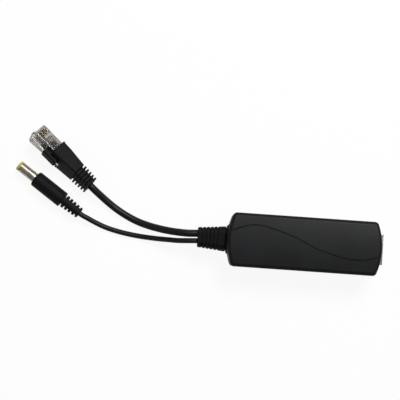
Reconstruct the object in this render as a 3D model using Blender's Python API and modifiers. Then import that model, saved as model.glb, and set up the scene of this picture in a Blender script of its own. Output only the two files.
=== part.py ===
"""PoE splitter: a two-shell case with a network socket at one end and, at the other, a rubber
boot with two short captive cables, one ending in a network plug and one in a DC barrel plug.

Metres, +Z up. The case lies flat with its long side along X, the socket faces +X and the
cables leave towards -X. The origin is under the middle of the case with its boot and socket.
"""

import math

import bmesh
import bpy
from mathutils import Vector

MM = 0.001

# Fits
SEAT = 0.3 * MM            # gap where one piece rests on or against another
FINE_FIT = 0.15 * MM       # gap round small moulded-in metal pieces
BORE_FIT = 0.2 * MM        # gap between a cable and the bore it runs through

# Case
CASE_LENGTH = 79.8 * MM    # between the tops of the two bowed ends
CASE_WIDTH = 28.0 * MM
CASE_HEIGHT = 23.0 * MM
CASE_WALL = 1.8 * MM
END_BOW = 2.7 * MM         # how far each end bulges past its corners
CORNER_RADIUS = 2.2 * MM
EDGE_RADIUS = 1.8 * MM
SEAM_HEIGHT = 11.5 * MM
SEAM_GAP = 0.3 * MM
LIP_HEIGHT = 1.0 * MM
LIP_THICKNESS = 0.8 * MM
SWEEP_GROOVE = 0.8 * MM    # width of the swept groove on the lid
POST_DIAMETER = 2.4 * MM

# Circuit board
BOARD_THICKNESS = 1.6 * MM
BOARD_UNDERSIDE = 4.4 * MM
BOARD_JACK_MARGIN = 3.0 * MM   # board edge back from the inside of the bowed socket end
POST_INSET = 1.8 * MM          # post axis in from the board's long edges
POST_END_INSET = 3.0 * MM      # post axis in from the board's short edges
LEAD_ROOM = 2.4 * MM           # from the end of the cable jackets to the board
PAD_INSET = 2.6 * MM           # lead pads in from the board's edge

# Parts on the board
HEADROOM = 2.9 * MM            # above the tallest part
CORE_LENGTH = 14.0 * MM
CORE_DEPTH = 5.0 * MM
CORE_LEG = 4.0 * MM
CORE_WINDOW = 3.0 * MM
CORE_YOKE = 2.0 * MM
WINDING_DEPTH = 12.0 * MM
WINDING_CORNER = 1.0 * MM
CAN_DIAMETER = 8.0 * MM
CAN_BELOW_TALLEST = 0.5 * MM
CAN_GROOVE = 2.0 * MM          # height of the rolled groove
CAN_GROOVE_DEPTH = 0.4 * MM
DRUM_DIAMETER = 8.0 * MM
DRUM_WAIST = 6.6 * MM
DRUM_HEIGHT = 7.0 * MM
DRUM_FLANGE = 1.2 * MM
CHIP_FOOT_WIDTH = 0.4 * MM
CHIP_FOOT_REACH = 0.9 * MM
CHIP_FOOT_HEIGHT = 0.6 * MM
CHIP_HEIGHT = 2.4 * MM
LINE_TRANSFORMER_HEIGHT = 5.6 * MM

# Network socket
JACK_WIDTH = 16.2 * MM
JACK_HEIGHT = 13.5 * MM
JACK_LENGTH = 21.3 * MM
JACK_PROUD = 0.8 * MM
SHIELD_SHEET = 0.3 * MM
SOCKET_WIDTH = 11.9 * MM
SOCKET_HEIGHT = 6.9 * MM
SOCKET_DEPTH = 14.0 * MM
SOCKET_FLOOR = 3.3 * MM        # socket floor above the underside of the jack
KEYWAY_WIDTH = 6.2 * MM
KEYWAY_DROP = 2.0 * MM
CONTACT_COUNT = 8
CONTACT_PITCH = 1.02 * MM
CONTACT_WIRE = 0.45 * MM
CONTACT_TAIL_SPACE = 3.2 * MM
SOCKET_LIP = 2.4 * MM          # wall over the contacts' bends, behind the front
CONTACT_END_GAP = 1.5 * MM     # free ends of the contacts off the socket's back wall
CONTACT_DROOP = 2.2 * MM       # free ends of the contacts below the socket's roof
PIN_ROW_SPACING = 1.6 * MM

# Cables and their boot in the case
DATA_CABLE = 3.9 * MM
POWER_CABLE = 2.8 * MM
CABLE_SPACING = 3.9 * MM
BOOT_OUT = 15.1 * MM           # boot length outside the collar
BOOT_BASE = (13.3 * MM, 9.8 * MM)
BOOT_TIP = (10.7 * MM, 7.8 * MM)
BOOT_NECK = (10.4 * MM, 7.6 * MM)
BOOT_NOTCH = 0.6 * MM
BOOT_TIP_ROUND = 0.8 * MM
BOOT_PLAIN = 3.6 * MM
BOOT_GROOVES = 5
BOOT_GROOVE_WIDTH = 0.75 * MM
BOOT_GROOVE_DEPTH = 0.45 * MM
BOOT_FLANGE = (13.4 * MM, 10.6 * MM)
BOOT_FLANGE_THICKNESS = 1.5 * MM
COLLAR = (13.8 * MM, 11.4 * MM)
COLLAR_SPREAD = 2.8 * MM       # how much wider the collar is at its root
COLLAR_SLOPE = 1.4 * MM        # length of the collar's sloping sides
COLLAR_PROUD = 0.5 * MM        # collar face beyond the bowed end
COLLAR_DEPTH = 3.1 * MM
JACKET_PAST_FLANGE = 1.6 * MM
LEAD_DIAMETER = 0.9 * MM
LEAD_PITCH = 1.7 * MM

# Network plug: nose at 0, rear towards +X, width along Y, latch side towards +Z
PLUG_LENGTH = 21.5 * MM
PLUG_WIDTH = 11.7 * MM
PLUG_THICKNESS = 6.6 * MM
PLUG_WALL = 1.1 * MM
BLADE_START = 1.1 * MM
BLADE_LENGTH = 3.2 * MM
BLADE_HEIGHT = 3.4 * MM
BLADE_THICKNESS = 0.35 * MM
BLADE_RECESS = 0.9 * MM
PLUG_WIRE = 0.72 * MM
WIRE_CHANNEL_HEIGHT = 1.3 * MM
JACKET_IN_PLUG = 9.9 * MM      # where the data cable's jacket ends, behind the nose
LATCH_WIDTH = 6.0 * MM
LATCH_TAIL_WIDTH = 3.4 * MM
LATCH_LENGTH = 20.6 * MM
LATCH_THICKNESS = 1.0 * MM
LATCH_RISE = 1.55 * MM         # underside of the latch above the plug's broad face
LATCH_ROOT_PROUD = 1.1 * MM
LATCH_ROOT = 1.6 * MM
LATCH_SWELL = 0.9 * MM         # how far the latch arcs away towards its tail
SLEEVE_START = 13.7 * MM
SLEEVE_SHOULDER = 19.6 * MM
SLEEVE_END = 30.0 * MM
SLEEVE_FRONT = (13.5 * MM, 8.8 * MM)
SLEEVE_MIDDLE = (13.2 * MM, 8.5 * MM)
SLEEVE_REAR = (12.0 * MM, 6.9 * MM)
SLEEVE_CORNER = 0.9 * MM
TONGUE_TIP = 6.0 * MM
TONGUE_WIDTH = 5.6 * MM
TONGUE_THICKNESS = 0.9 * MM
CHEEK_START = 11.9 * MM       # guards that stand on both sides of the latch
CHEEK_END = 15.0 * MM
CHEEK_GAP = 2.05 * MM          # from the middle of the latch
CHEEK_THICKNESS = 0.7 * MM
CHEEK_LOW = 3.9 * MM
CHEEK_HIGH = 5.9 * MM
PLUG_RIBS = 5
PLUG_RIB_PITCH = 1.96 * MM
PLUG_RIB_THICKNESS = 0.95 * MM
PLUG_RIB_FIRST = (12.0 * MM, 7.4 * MM)
PLUG_RIB_LAST = (11.6 * MM, 6.3 * MM)
PLUG_CORE = (8.0 * MM, 5.4 * MM)
PLUG_WEB = 4.0 * MM            # width of the web that joins the ribs

# DC plug: tip at 0, rear towards +X
BARREL_DIAMETER = 5.5 * MM
BARREL_BORE = 4.7 * MM
BARREL_EXPOSED = 11.4 * MM     # with the insulator ring
BARREL_IN_GRIP = 4.0 * MM
TIP_RING = 1.4 * MM
PIN_TUBE_OUTER = 3.0 * MM
PIN_TUBE_BORE = 2.1 * MM
PIN_TUBE_RECESS = 0.7 * MM
GRIP_DIAMETER = 8.7 * MM
GRIP_LENGTH = 18.6 * MM
GRIP_ROUND = 0.9 * MM
GRIP_NOTCHES = 5               # on each side of the tail
GRIP_NOTCH_PITCH = 2.3 * MM
GRIP_NOTCH_WIDTH = 1.3 * MM
GRIP_TAIL_FIRST = 7.6 * MM     # tail diameters
GRIP_TAIL_LAST = 6.1 * MM
GRIP_WEB = 4.1 * MM            # left between the notches

# Where the plugs lie, from the middle of the case: nose or tip, then turn in plan,
# tail-down pitch and roll in degrees
DATA_PLUG_NOSE = Vector((-144.45, 49.8, 8.9)) * MM
DATA_PLUG_TURN = (64.0, 3.5, -41.3)
POWER_PLUG_TIP = Vector((-153.75, 32.0, 4.42)) * MM
POWER_PLUG_TURN = (0.0, 0.0, -34.4)

# Free cable routes between boot and plug, from the middle of the case
DATA_ROUTE = (
    (-60.5, 1.7, 11.4),
    (-66.0, 1.9, 10.3),
    (-71.5, 2.45, 8.3),
    (-77.0, 3.35, 5.9),
    (-82.7, 4.6, 3.7),
    (-88.5, 6.4, 2.4),
    (-94.5, 9.1, 2.0),
    (-100.3, 12.4, 2.2),
    (-105.4, 16.0, 3.3),
    (-109.9, 19.6, 5.0),
)
POWER_ROUTE = (
    (-60.5, -2.25, 11.3),
    (-65.5, -2.5, 10.1),
    (-70.5, -2.4, 7.9),
    (-75.5, -2.25, 5.1),
    (-81.0, -1.95, 2.7),
    (-87.0, -1.45, 1.6),
    (-93.0, -0.7, 1.45),
    (-99.5, 0.5, 1.45),
    (-105.5, 2.1, 1.8),
    (-110.6, 4.1, 2.8),
    (-114.9, 6.1, 3.8),
)
ROUTE_POINT_SPACING = 1.5      # in cable diameters

# Derived places
HALF_LENGTH = CASE_LENGTH / 2
HALF_WIDTH = CASE_WIDTH / 2
BOW_RADIUS = (HALF_WIDTH ** 2 + END_BOW ** 2) / (2 * END_BOW)
BOARD_TOP = BOARD_UNDERSIDE + BOARD_THICKNESS
PARTS_FLOOR = BOARD_TOP + SEAT
BOARD_WIDTH = CASE_WIDTH - 2 * (CASE_WALL + SEAT)
BOARD_RIGHT = HALF_LENGTH - CASE_WALL - BOARD_JACK_MARGIN
JACK_FRONT = HALF_LENGTH + JACK_PROUD
JACK_BACK = JACK_FRONT - JACK_LENGTH
JACK_FLOOR = PARTS_FLOOR
JACK_TOP = JACK_FLOOR + JACK_HEIGHT
SOCKET_Z = JACK_FLOOR + SOCKET_FLOOR
COLLAR_FACE = -HALF_LENGTH - COLLAR_PROUD
FLANGE_FACE = COLLAR_FACE + COLLAR_DEPTH + SEAT
FLANGE_BACK = FLANGE_FACE + BOOT_FLANGE_THICKNESS
BOOT_END = COLLAR_FACE - BOOT_OUT
JACKET_END = FLANGE_BACK + JACKET_PAST_FLANGE
BOARD_LEFT = JACKET_END + LEAD_ROOM
TALLEST_PART = CASE_HEIGHT - CASE_WALL - HEADROOM - PARTS_FLOOR
CELL_LONG = (JACK_BACK - BOARD_LEFT) / 51    # layout grid along the board
CELL_WIDE = BOARD_WIDTH / 24                 # layout grid across the board
ORIGIN_SHIFT = -(BOOT_END + JACK_FRONT) / 2
DATA_Y = CABLE_SPACING / 2
POWER_Y = -CABLE_SPACING / 2
PLUG_END = SLEEVE_END + PLUG_RIBS * PLUG_RIB_PITCH
GRIP_START = BARREL_EXPOSED
GRIP_END = GRIP_START + GRIP_LENGTH
POWER_PLUG_END = GRIP_END + GRIP_NOTCHES * GRIP_NOTCH_PITCH

# The groove on the lid, in shares of the half length and half width
SWEEP = (
    (-1.03, 0.22),
    (-0.945, 0.33),
    (-0.76, 0.52),
    (-0.604, 0.565),
    (-0.343, 0.407),
    (-0.07, 0.135),
    (0.13, -0.13),
    (0.316, -0.295),
    (0.53, -0.44),
    (0.675, -0.47),
    (0.81, -0.435),
    (0.96, -0.3),
    (1.03, -0.24),
)


def linear(channel):
    """One sRGB channel, 0 to 255, as a linear value."""
    value = channel / 255
    if value <= 0.04045:
        return value / 12.92
    return ((value + 0.055) / 1.055) ** 2.4


def material(name, colour, roughness, metallic=0.0, transmission=0.0):
    """A Principled material from an sRGB colour."""
    made = bpy.data.materials.new(name)
    made.use_nodes = True
    shader = made.node_tree.nodes["Principled BSDF"]
    rgb = [linear(channel) for channel in colour]
    shader.inputs["Base Color"].default_value = (*rgb, 1.0)
    shader.inputs["Roughness"].default_value = roughness
    shader.inputs["Metallic"].default_value = metallic
    shader.inputs["Transmission Weight"].default_value = transmission
    made.diffuse_color = (*rgb, 1.0)
    return made


def clear_scene():
    for old in list(bpy.data.objects):
        bpy.data.objects.remove(old, do_unlink=True)


def new_collection(name):
    made = bpy.data.collections.new(name)
    bpy.context.scene.collection.children.link(made)
    return made


clear_scene()
PARTS = new_collection("poe_splitter")
CUTTERS = new_collection("cutters")

CASE_PLASTIC = material("matt_abs", (43, 45, 46), 0.55)
RUBBER = material("black_pvc", (26, 28, 29), 0.5)
CLEAR = material("clear_polycarbonate", (196, 196, 190), 0.15, transmission=0.8)
NICKEL = material("nickel", (196, 194, 186), 0.25, metallic=1.0)
GOLD = material("gold_plate", (196, 160, 92), 0.3, metallic=1.0)
YELLOW = material("yellow_insulator", (196, 190, 50), 0.45)
BOARD_GREEN = material("board_laminate", (36, 92, 54), 0.45)
JACK_PLASTIC = material("black_nylon", (22, 22, 24), 0.5)
FERRITE = material("ferrite", (58, 56, 54), 0.7)
TAPE = material("yellow_tape", (214, 182, 56), 0.5)
EPOXY = material("chip_epoxy", (24, 24, 26), 0.5)
CAN = material("capacitor_sleeve", (30, 34, 44), 0.35)
COPPER = material("enamelled_copper", (170, 92, 48), 0.35, metallic=0.8)
LEAD_COLOURS = {
    "orange": material("orange_insulation", (214, 116, 36), 0.45),
    "green": material("green_insulation", (42, 128, 66), 0.45),
    "blue": material("blue_insulation", (44, 84, 168), 0.45),
    "brown": material("brown_insulation", (112, 70, 44), 0.45),
    "red": material("red_insulation", (176, 34, 32), 0.45),
    "black": material("black_insulation", (24, 24, 24), 0.45),
}


def add_empty(name, location, turn=(0.0, 0.0, 0.0), parent=None):
    made = bpy.data.objects.new(name, None)
    PARTS.objects.link(made)
    made.location = location
    made.rotation_euler = [math.radians(angle) for angle in turn]
    made.parent = parent
    return made


ROOT = add_empty("case_middle", (ORIGIN_SHIFT, 0, 0))
DATA_PLUG = add_empty("data_plug_nose", DATA_PLUG_NOSE, DATA_PLUG_TURN, ROOT)
POWER_PLUG = add_empty("power_plug_tip", POWER_PLUG_TIP, POWER_PLUG_TURN, ROOT)


def add_object(name, data, finish, parent=ROOT):
    """A piece of the splitter; without a finish it is a cutter or a shape to be joined."""
    made = bpy.data.objects.new(name, data)
    made.parent = parent
    if finish is None:
        CUTTERS.objects.link(made)
        made.display_type = "WIRE"
        made.hide_render = True
    else:
        PARTS.objects.link(made)
        data.materials.append(finish)
    return made


def add_bmesh(name, bm, finish, parent=ROOT, smooth=False):
    bmesh.ops.recalc_face_normals(bm, faces=bm.faces)
    mesh = bpy.data.meshes.new(name)
    bm.to_mesh(mesh)
    bm.free()
    if smooth:
        mesh.shade_smooth()
        mesh.set_sharp_from_angle(angle=math.radians(35))
    return add_object(name, mesh, finish, parent)


def boolean(target, other, operation):
    step = target.modifiers.new(operation.lower(), "BOOLEAN")
    step.operation = operation
    step.object = other
    step.solver = "EXACT"
    return target


def cut(target, other):
    return boolean(target, other, "DIFFERENCE")


def join(target, other):
    return boolean(target, other, "UNION")


def add_box(bm, low, high):
    """A box between two corners, added to a bmesh; returns its vertices."""
    verts = bmesh.ops.create_cube(bm, size=1.0)["verts"]
    low = Vector(low)
    high = Vector(high)
    bmesh.ops.scale(bm, vec=high - low, verts=verts)
    bmesh.ops.translate(bm, vec=(high + low) / 2, verts=verts)
    return verts


def round_edges(bm, edges, radius, segments=2):
    bmesh.ops.bevel(bm, geom=edges, offset=radius, offset_type="OFFSET", segments=segments,
                    profile=0.5, affect="EDGES", material=-1, clamp_overlap=True)


def edges_along(bm, axis):
    """The edges that run along one axis, given as 0, 1 or 2."""
    chosen = []
    for edge in bm.edges:
        run = (edge.verts[1].co - edge.verts[0].co).normalized()
        if abs(run[axis]) > 0.999:
            chosen.append(edge)
    return chosen


def box(name, low, high, finish=None, parent=ROOT, radius=0.0, axis=None):
    """A box; with a radius its edges are rounded, all of them or those along one axis."""
    bm = bmesh.new()
    add_box(bm, low, high)
    if radius > 0:
        edges = list(bm.edges) if axis is None else edges_along(bm, axis)
        round_edges(bm, edges, radius)
    return add_bmesh(name, bm, finish, parent, smooth=radius > 0)


def boxes(name, corner_pairs, finish=None, parent=ROOT):
    """Several separate boxes in one object, for a pattern of cuts."""
    bm = bmesh.new()
    for low, high in corner_pairs:
        add_box(bm, low, high)
    return add_bmesh(name, bm, finish, parent)


def rods(name, feet, length, diameter, axis, finish=None, parent=ROOT, sides=16):
    """Separate round rods of one size that start at their feet and run along +axis."""
    bm = bmesh.new()
    turn = {"X": ("Y", 90), "Z": ("Z", 0)}[axis]
    direction = {"X": Vector((1, 0, 0)), "Z": Vector((0, 0, 1))}[axis]
    for foot in feet:
        made = bmesh.ops.create_cone(bm, cap_ends=True, segments=sides, radius1=diameter / 2,
                                     radius2=diameter / 2, depth=length)["verts"]
        spin = Vector((0, 0, 1)).rotation_difference(direction).to_matrix()
        if turn[1]:
            bmesh.ops.rotate(bm, cent=(0, 0, 0), matrix=spin, verts=made)
        bmesh.ops.translate(bm, vec=Vector(foot) + direction * length / 2, verts=made)
    return add_bmesh(name, bm, finish, parent, smooth=True)


def prism(name, outline, low, high, finish=None, parent=ROOT):
    """A flat outline in the XZ plane, extruded along Y."""
    bm = bmesh.new()
    verts = [bm.verts.new((x, low, z)) for x, z in outline]
    face = bm.faces.new(verts)
    raised = bmesh.ops.extrude_face_region(bm, geom=[face])["geom"]
    moved = [item for item in raised if isinstance(item, bmesh.types.BMVert)]
    bmesh.ops.translate(bm, vec=(0, high - low, 0), verts=moved)
    return add_bmesh(name, bm, finish, parent)


def turned(name, profile, finish, parent, steps, foot=(0, 0, 0), upright=False):
    """A turned piece: (axial place, radius) points down its outside, closed or on the axis."""
    bm = bmesh.new()
    verts = [bm.verts.new((radius, 0, place)) for place, radius in profile]
    closed = profile[0][1] > 0
    for index in range(len(verts) - (0 if closed else 1)):
        bm.edges.new((verts[index], verts[(index + 1) % len(verts)]))
    mesh = bpy.data.meshes.new(name)
    bm.to_mesh(mesh)
    bm.free()
    made = add_object(name, mesh, finish, parent)
    made.location = foot
    if not upright:
        made.rotation_euler = (0, math.radians(90), 0)
    screw = made.modifiers.new("turn", "SCREW")
    screw.axis = "Z"
    screw.steps = steps
    screw.render_steps = steps
    screw.use_merge_vertices = True
    screw.merge_threshold = 0.00001
    screw.use_smooth_shade = True
    return made


def section_ring(size, corner, arc_steps):
    """Points of a rounded rectangle, width along Y and height along Z."""
    half_y = size[0] / 2 - corner
    half_z = size[1] / 2 - corner
    points = []
    for quarter, (side_y, side_z) in enumerate(((1, 1), (-1, 1), (-1, -1), (1, -1))):
        for step in range(arc_steps + 1):
            angle = math.radians(90 * (quarter + step / arc_steps))
            y = side_y * half_y + corner * math.cos(angle)
            z = side_z * half_z + corner * math.sin(angle)
            points.append((y, z))
    return points


def sectioned(name, stations, corner, finish, parent=ROOT, arc_steps=3, centre_z=0.0):
    """A piece swept along X: a rounded section is extruded and scaled at each station.

    A station is a place along X and the section's width and height there.
    """
    place, size = stations[0]
    bm = bmesh.new()
    ring = [bm.verts.new((place, y, z)) for y, z in section_ring(size, corner, arc_steps)]
    edges = [bm.edges.new((ring[i - 1], ring[i])) for i in range(len(ring))]
    bmesh.ops.contextual_create(bm, geom=edges)
    for next_place, next_size in stations[1:]:
        grown = bmesh.ops.extrude_edge_only(bm, edges=edges)["geom"]
        verts = [item for item in grown if isinstance(item, bmesh.types.BMVert)]
        fresh = set(verts)
        edges = [item for item in grown if isinstance(item, bmesh.types.BMEdge)
                 and item.verts[0] in fresh and item.verts[1] in fresh]
        ratio = (1, next_size[0] / size[0], next_size[1] / size[1])
        bmesh.ops.scale(bm, vec=ratio, verts=verts)
        bmesh.ops.translate(bm, vec=(next_place - place, 0, 0), verts=verts)
        place, size = next_place, next_size
    bmesh.ops.contextual_create(bm, geom=edges)
    bmesh.ops.translate(bm, vec=(0, 0, centre_z), verts=bm.verts)
    return add_bmesh(name, bm, finish, parent, smooth=True)


def between(first, last, share):
    """A size part of the way from one to another."""
    return tuple(a + (b - a) * share for a, b in zip(first, last))


def smooth_route(points, spacing):
    """Evenly spaced points on a smooth curve through the given points."""
    points = [Vector(point) for point in points]
    guide = [2 * points[0] - points[1], *points, 2 * points[-1] - points[-2]]
    fine = []
    for index in range(1, len(guide) - 2):
        before, start, end, after = guide[index - 1:index + 3]
        for step in range(24):
            t = step / 24
            bend = (2 * before - 5 * start + 4 * end - after) * t * t
            twist = (3 * start - before - 3 * end + after) * t ** 3
            fine.append((2 * start + (end - before) * t + bend + twist) / 2)
    fine.append(points[-1])
    lengths = [0.0]
    for previous, current in zip(fine, fine[1:]):
        lengths.append(lengths[-1] + (current - previous).length)
    count = max(2, round(lengths[-1] / spacing))
    route = []
    seat = 0
    for index in range(count + 1):
        target = lengths[-1] * index / count
        while seat < len(lengths) - 2 and lengths[seat + 1] < target:
            seat += 1
        share = (target - lengths[seat]) / (lengths[seat + 1] - lengths[seat])
        route.append(fine[seat].lerp(fine[seat + 1], share))
    return route


def tube(name, points, diameter, finish, parent=ROOT, resolution=2):
    """A round wire or cable with closed ends along straight runs between points."""
    curve = bpy.data.curves.new(name, "CURVE")
    curve.dimensions = "3D"
    curve.bevel_depth = diameter / 2
    curve.bevel_resolution = resolution
    curve.use_fill_caps = True
    spline = curve.splines.new("POLY")
    spline.points.add(len(points) - 1)
    for target, point in zip(spline.points, points):
        target.co = (*point, 1.0)
    return add_object(name, curve, finish, parent)


def tube_cutter(name, points, diameter, parent=ROOT, resolution=2):
    """A tube made a mesh, so that it can cut."""
    source = tube(name + "_line", points, diameter, CASE_PLASTIC, parent, resolution)
    bpy.context.view_layer.update()
    evaluated = source.evaluated_get(bpy.context.evaluated_depsgraph_get())
    mesh = bpy.data.meshes.new_from_object(evaluated)
    bm = bmesh.new()
    bm.from_mesh(mesh)
    bmesh.ops.remove_doubles(bm, verts=bm.verts, dist=0.00001)
    bm.to_mesh(mesh)
    bm.free()
    made = add_object(name, mesh, None, None)
    made.matrix_world = source.matrix_world.copy()
    bpy.data.objects.remove(source, do_unlink=True)
    return made


def case_outline(inset):
    """The case seen from above, set in by a distance: straight sides and bowed ends."""
    half_width = HALF_WIDTH - inset
    radius = BOW_RADIUS - inset
    centre = HALF_LENGTH - BOW_RADIUS
    swing = math.asin(half_width / radius)
    points = []
    for side in (1, -1):
        for step in range(-7, 8):
            angle = swing * step / 7
            x = centre + radius * math.cos(angle)
            points.append((side * x, side * radius * math.sin(angle)))
    return points, swing


def case_block(name, inset, low, high, round_low, round_high):
    """A solid with the case's outline; its corners and chosen rims are rounded."""
    outline, swing = case_outline(inset)
    bm = bmesh.new()
    face = bm.faces.new([bm.verts.new((x, y, low)) for x, y in outline])
    raised = bmesh.ops.extrude_face_region(bm, geom=[face])["geom"]
    top = [item for item in raised if isinstance(item, bmesh.types.BMVert)]
    bmesh.ops.translate(bm, vec=(0, 0, high - low), verts=top)
    corner = max(CORNER_RADIUS - inset, 0)
    edge = max(EDGE_RADIUS - inset, 0)
    turn = math.pi / 2 - swing
    reach = HALF_WIDTH - inset
    if corner > 0:
        uprights = [item for item in edges_along(bm, 2)
                    if abs(abs(item.verts[0].co.y) - reach) < SEAT / 10]
        round_edges(bm, uprights, corner * math.tan(turn / 2), segments=3)
    if edge > 0:
        rims = [item for item in bm.edges
                if (round_low and max(v.co.z for v in item.verts) < low + SEAT / 10)
                or (round_high and min(v.co.z for v in item.verts) > high - SEAT / 10)]
        if rims:
            round_edges(bm, rims, edge, segments=3)
    return add_bmesh(name, bm, None)


def board_posts():
    """Post axes: one near each corner of the board."""
    y = BOARD_WIDTH / 2 - POST_INSET
    return [(x, side * y) for x in (BOARD_LEFT + POST_END_INSET, BOARD_RIGHT - POST_END_INSET)
            for side in (-1, 1)]


def end_openings():
    """The cutters for the boot's hole and the socket's hole."""
    centre = CASE_HEIGHT / 2
    neck = tuple(size + 2 * SEAT for size in BOOT_NECK)
    hole = sectioned("boot_hole", [(COLLAR_FACE - SEAM_HEIGHT, neck),
                                   (FLANGE_BACK, neck)],
                     neck[1] * 0.42, None, centre_z=centre)
    socket = box("socket_hole",
                 (JACK_BACK, -JACK_WIDTH / 2 - SEAT, JACK_FLOOR - SEAT),
                 (JACK_FRONT + SEAT, JACK_WIDTH / 2 + SEAT, JACK_TOP + SEAT))
    return hole, socket


def collar_block(name, low, high):
    """The low seat round the boot's hole, between two heights."""
    root = tuple(size + COLLAR_SPREAD for size in COLLAR)
    stations = [(COLLAR_FACE, COLLAR), (COLLAR_FACE + COLLAR_SLOPE, root),
                (COLLAR_FACE + COLLAR_DEPTH, root)]
    seat = sectioned(name, stations, CORNER_RADIUS, None, centre_z=CASE_HEIGHT / 2)
    part = box(name + "_part", (COLLAR_FACE - SEAT, -CASE_WIDTH, low),
               (COLLAR_FACE + COLLAR_DEPTH + SEAT, CASE_WIDTH, high))
    return boolean(seat, part, "INTERSECT")


def case_shells():
    """Lower tray with a lip and board posts, and the lid that closes over it."""
    hole, socket = end_openings()
    lip_inset = CASE_WALL - LIP_THICKNESS
    lid_floor = SEAM_HEIGHT + SEAM_GAP

    tray = case_block("lower_case", 0, 0, SEAM_HEIGHT, True, False)
    lip = case_block("lip", lip_inset, EDGE_RADIUS, SEAM_HEIGHT + LIP_HEIGHT, False, False)
    hollow = case_block("tray_hollow", CASE_WALL, CASE_WALL, CASE_HEIGHT, True, False)
    pad = collar_block("tray_pad", 0, SEAM_HEIGHT)
    feet = [(x, y, CASE_WALL / 2) for x, y in board_posts()]
    posts = rods("tray_posts", feet, BOARD_UNDERSIDE - SEAT - CASE_WALL / 2, POST_DIAMETER, "Z")
    cut(cut(join(join(cut(join(tray, lip), hollow), pad), posts), hole), socket)

    lid = case_block("upper_case", 0, lid_floor, CASE_HEIGHT, False, True)
    room = case_block("lid_hollow", CASE_WALL, 0, CASE_HEIGHT - CASE_WALL, False, True)
    rebate = case_block("lid_rebate", lip_inset - SEAM_GAP, 0,
                        SEAM_HEIGHT + LIP_HEIGHT + SEAM_GAP, False, False)
    cap = collar_block("lid_pad", lid_floor, CASE_HEIGHT)
    heads = [(x, y, BOARD_TOP + SEAT) for x, y in board_posts()]
    pegs = rods("lid_pegs", heads, CASE_HEIGHT - CASE_WALL / 2 - BOARD_TOP - SEAT,
                POST_DIAMETER, "Z")
    sweep = [(x * HALF_LENGTH, y * HALF_WIDTH, CASE_HEIGHT) for x, y in SWEEP]
    groove = tube_cutter("sweep_groove", smooth_route(sweep, CASE_LENGTH / 26), SWEEP_GROOVE,
                         resolution=0)
    cut(cut(cut(join(join(cut(lid, room), pegs), cap), rebate), hole), socket)
    cut(lid, groove)

    for shell in (tray, lid):
        CUTTERS.objects.unlink(shell)
        PARTS.objects.link(shell)
        shell.display_type = "TEXTURED"
        shell.hide_render = False
        shell.data.materials.append(CASE_PLASTIC)


def cable_boot():
    """The ribbed rubber boot that holds both cables, clamped in the case's end wall."""
    ribbed_start = BOOT_END + BOOT_TIP_ROUND
    plain_end = COLLAR_FACE - BOOT_NOTCH
    length = plain_end - ribbed_start
    tip = tuple(size - 2 * BOOT_TIP_ROUND for size in BOOT_TIP)
    stations = [(BOOT_END, tip), (ribbed_start, BOOT_TIP)]
    pitch = (length - BOOT_PLAIN) / BOOT_GROOVES
    for index in range(BOOT_GROOVES):
        start = ribbed_start + pitch * (index + 1) - BOOT_GROOVE_WIDTH
        end = start + BOOT_GROOVE_WIDTH
        for place, deep in ((start, False), (start, True), (end, True), (end, False)):
            size = between(BOOT_TIP, BOOT_BASE, (place - ribbed_start) / length)
            slope = BOOT_GROOVE_WIDTH / 5
            shift = slope if deep and place == start else -slope if deep else 0
            depth = BOOT_GROOVE_DEPTH if deep else 0
            stations.append((place + shift, tuple(side - 2 * depth for side in size)))
    stations += [
        (plain_end, BOOT_BASE),
        (plain_end + BOOT_NOTCH / 10, BOOT_NECK),
        (FLANGE_FACE, BOOT_NECK),
        (FLANGE_FACE + BOOT_NOTCH / 10, BOOT_FLANGE),
        (FLANGE_BACK, BOOT_FLANGE),
    ]
    boot = sectioned("cable_boot", stations, tip[1] * 0.42, RUBBER,
                     arc_steps=4, centre_z=CASE_HEIGHT / 2)
    run = FLANGE_BACK - BOOT_END + 2 * SEAT
    for label, y, diameter in (("data_bore", DATA_Y, DATA_CABLE),
                               ("power_bore", POWER_Y, POWER_CABLE)):
        cut(boot, rods(label, [(BOOT_END - SEAT, y, CASE_HEIGHT / 2)], run,
                       diameter + 2 * BORE_FIT, "X", sides=20))


def contact_rows():
    """For each socket contact, its place across and its pin's place along the board."""
    middle = (CONTACT_COUNT - 1) / 2
    rear = JACK_BACK + SHIELD_SHEET + CONTACT_TAIL_SPACE / 4
    return [((index - middle) * CONTACT_PITCH, rear + (index % 2) * PIN_ROW_SPACING)
            for index in range(CONTACT_COUNT)]


def circuit_board():
    board = box("circuit_board", (BOARD_LEFT, -BOARD_WIDTH / 2, BOARD_UNDERSIDE),
                (BOARD_RIGHT, BOARD_WIDTH / 2, BOARD_TOP), BOARD_GREEN)
    feet = [(x, y, BOARD_UNDERSIDE - SEAT) for y, x in contact_rows()]
    cut(board, rods("pin_holes", feet, BOARD_THICKNESS + 2 * SEAT,
                    CONTACT_WIRE + 2 * BORE_FIT, "Z", sides=8))


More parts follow.
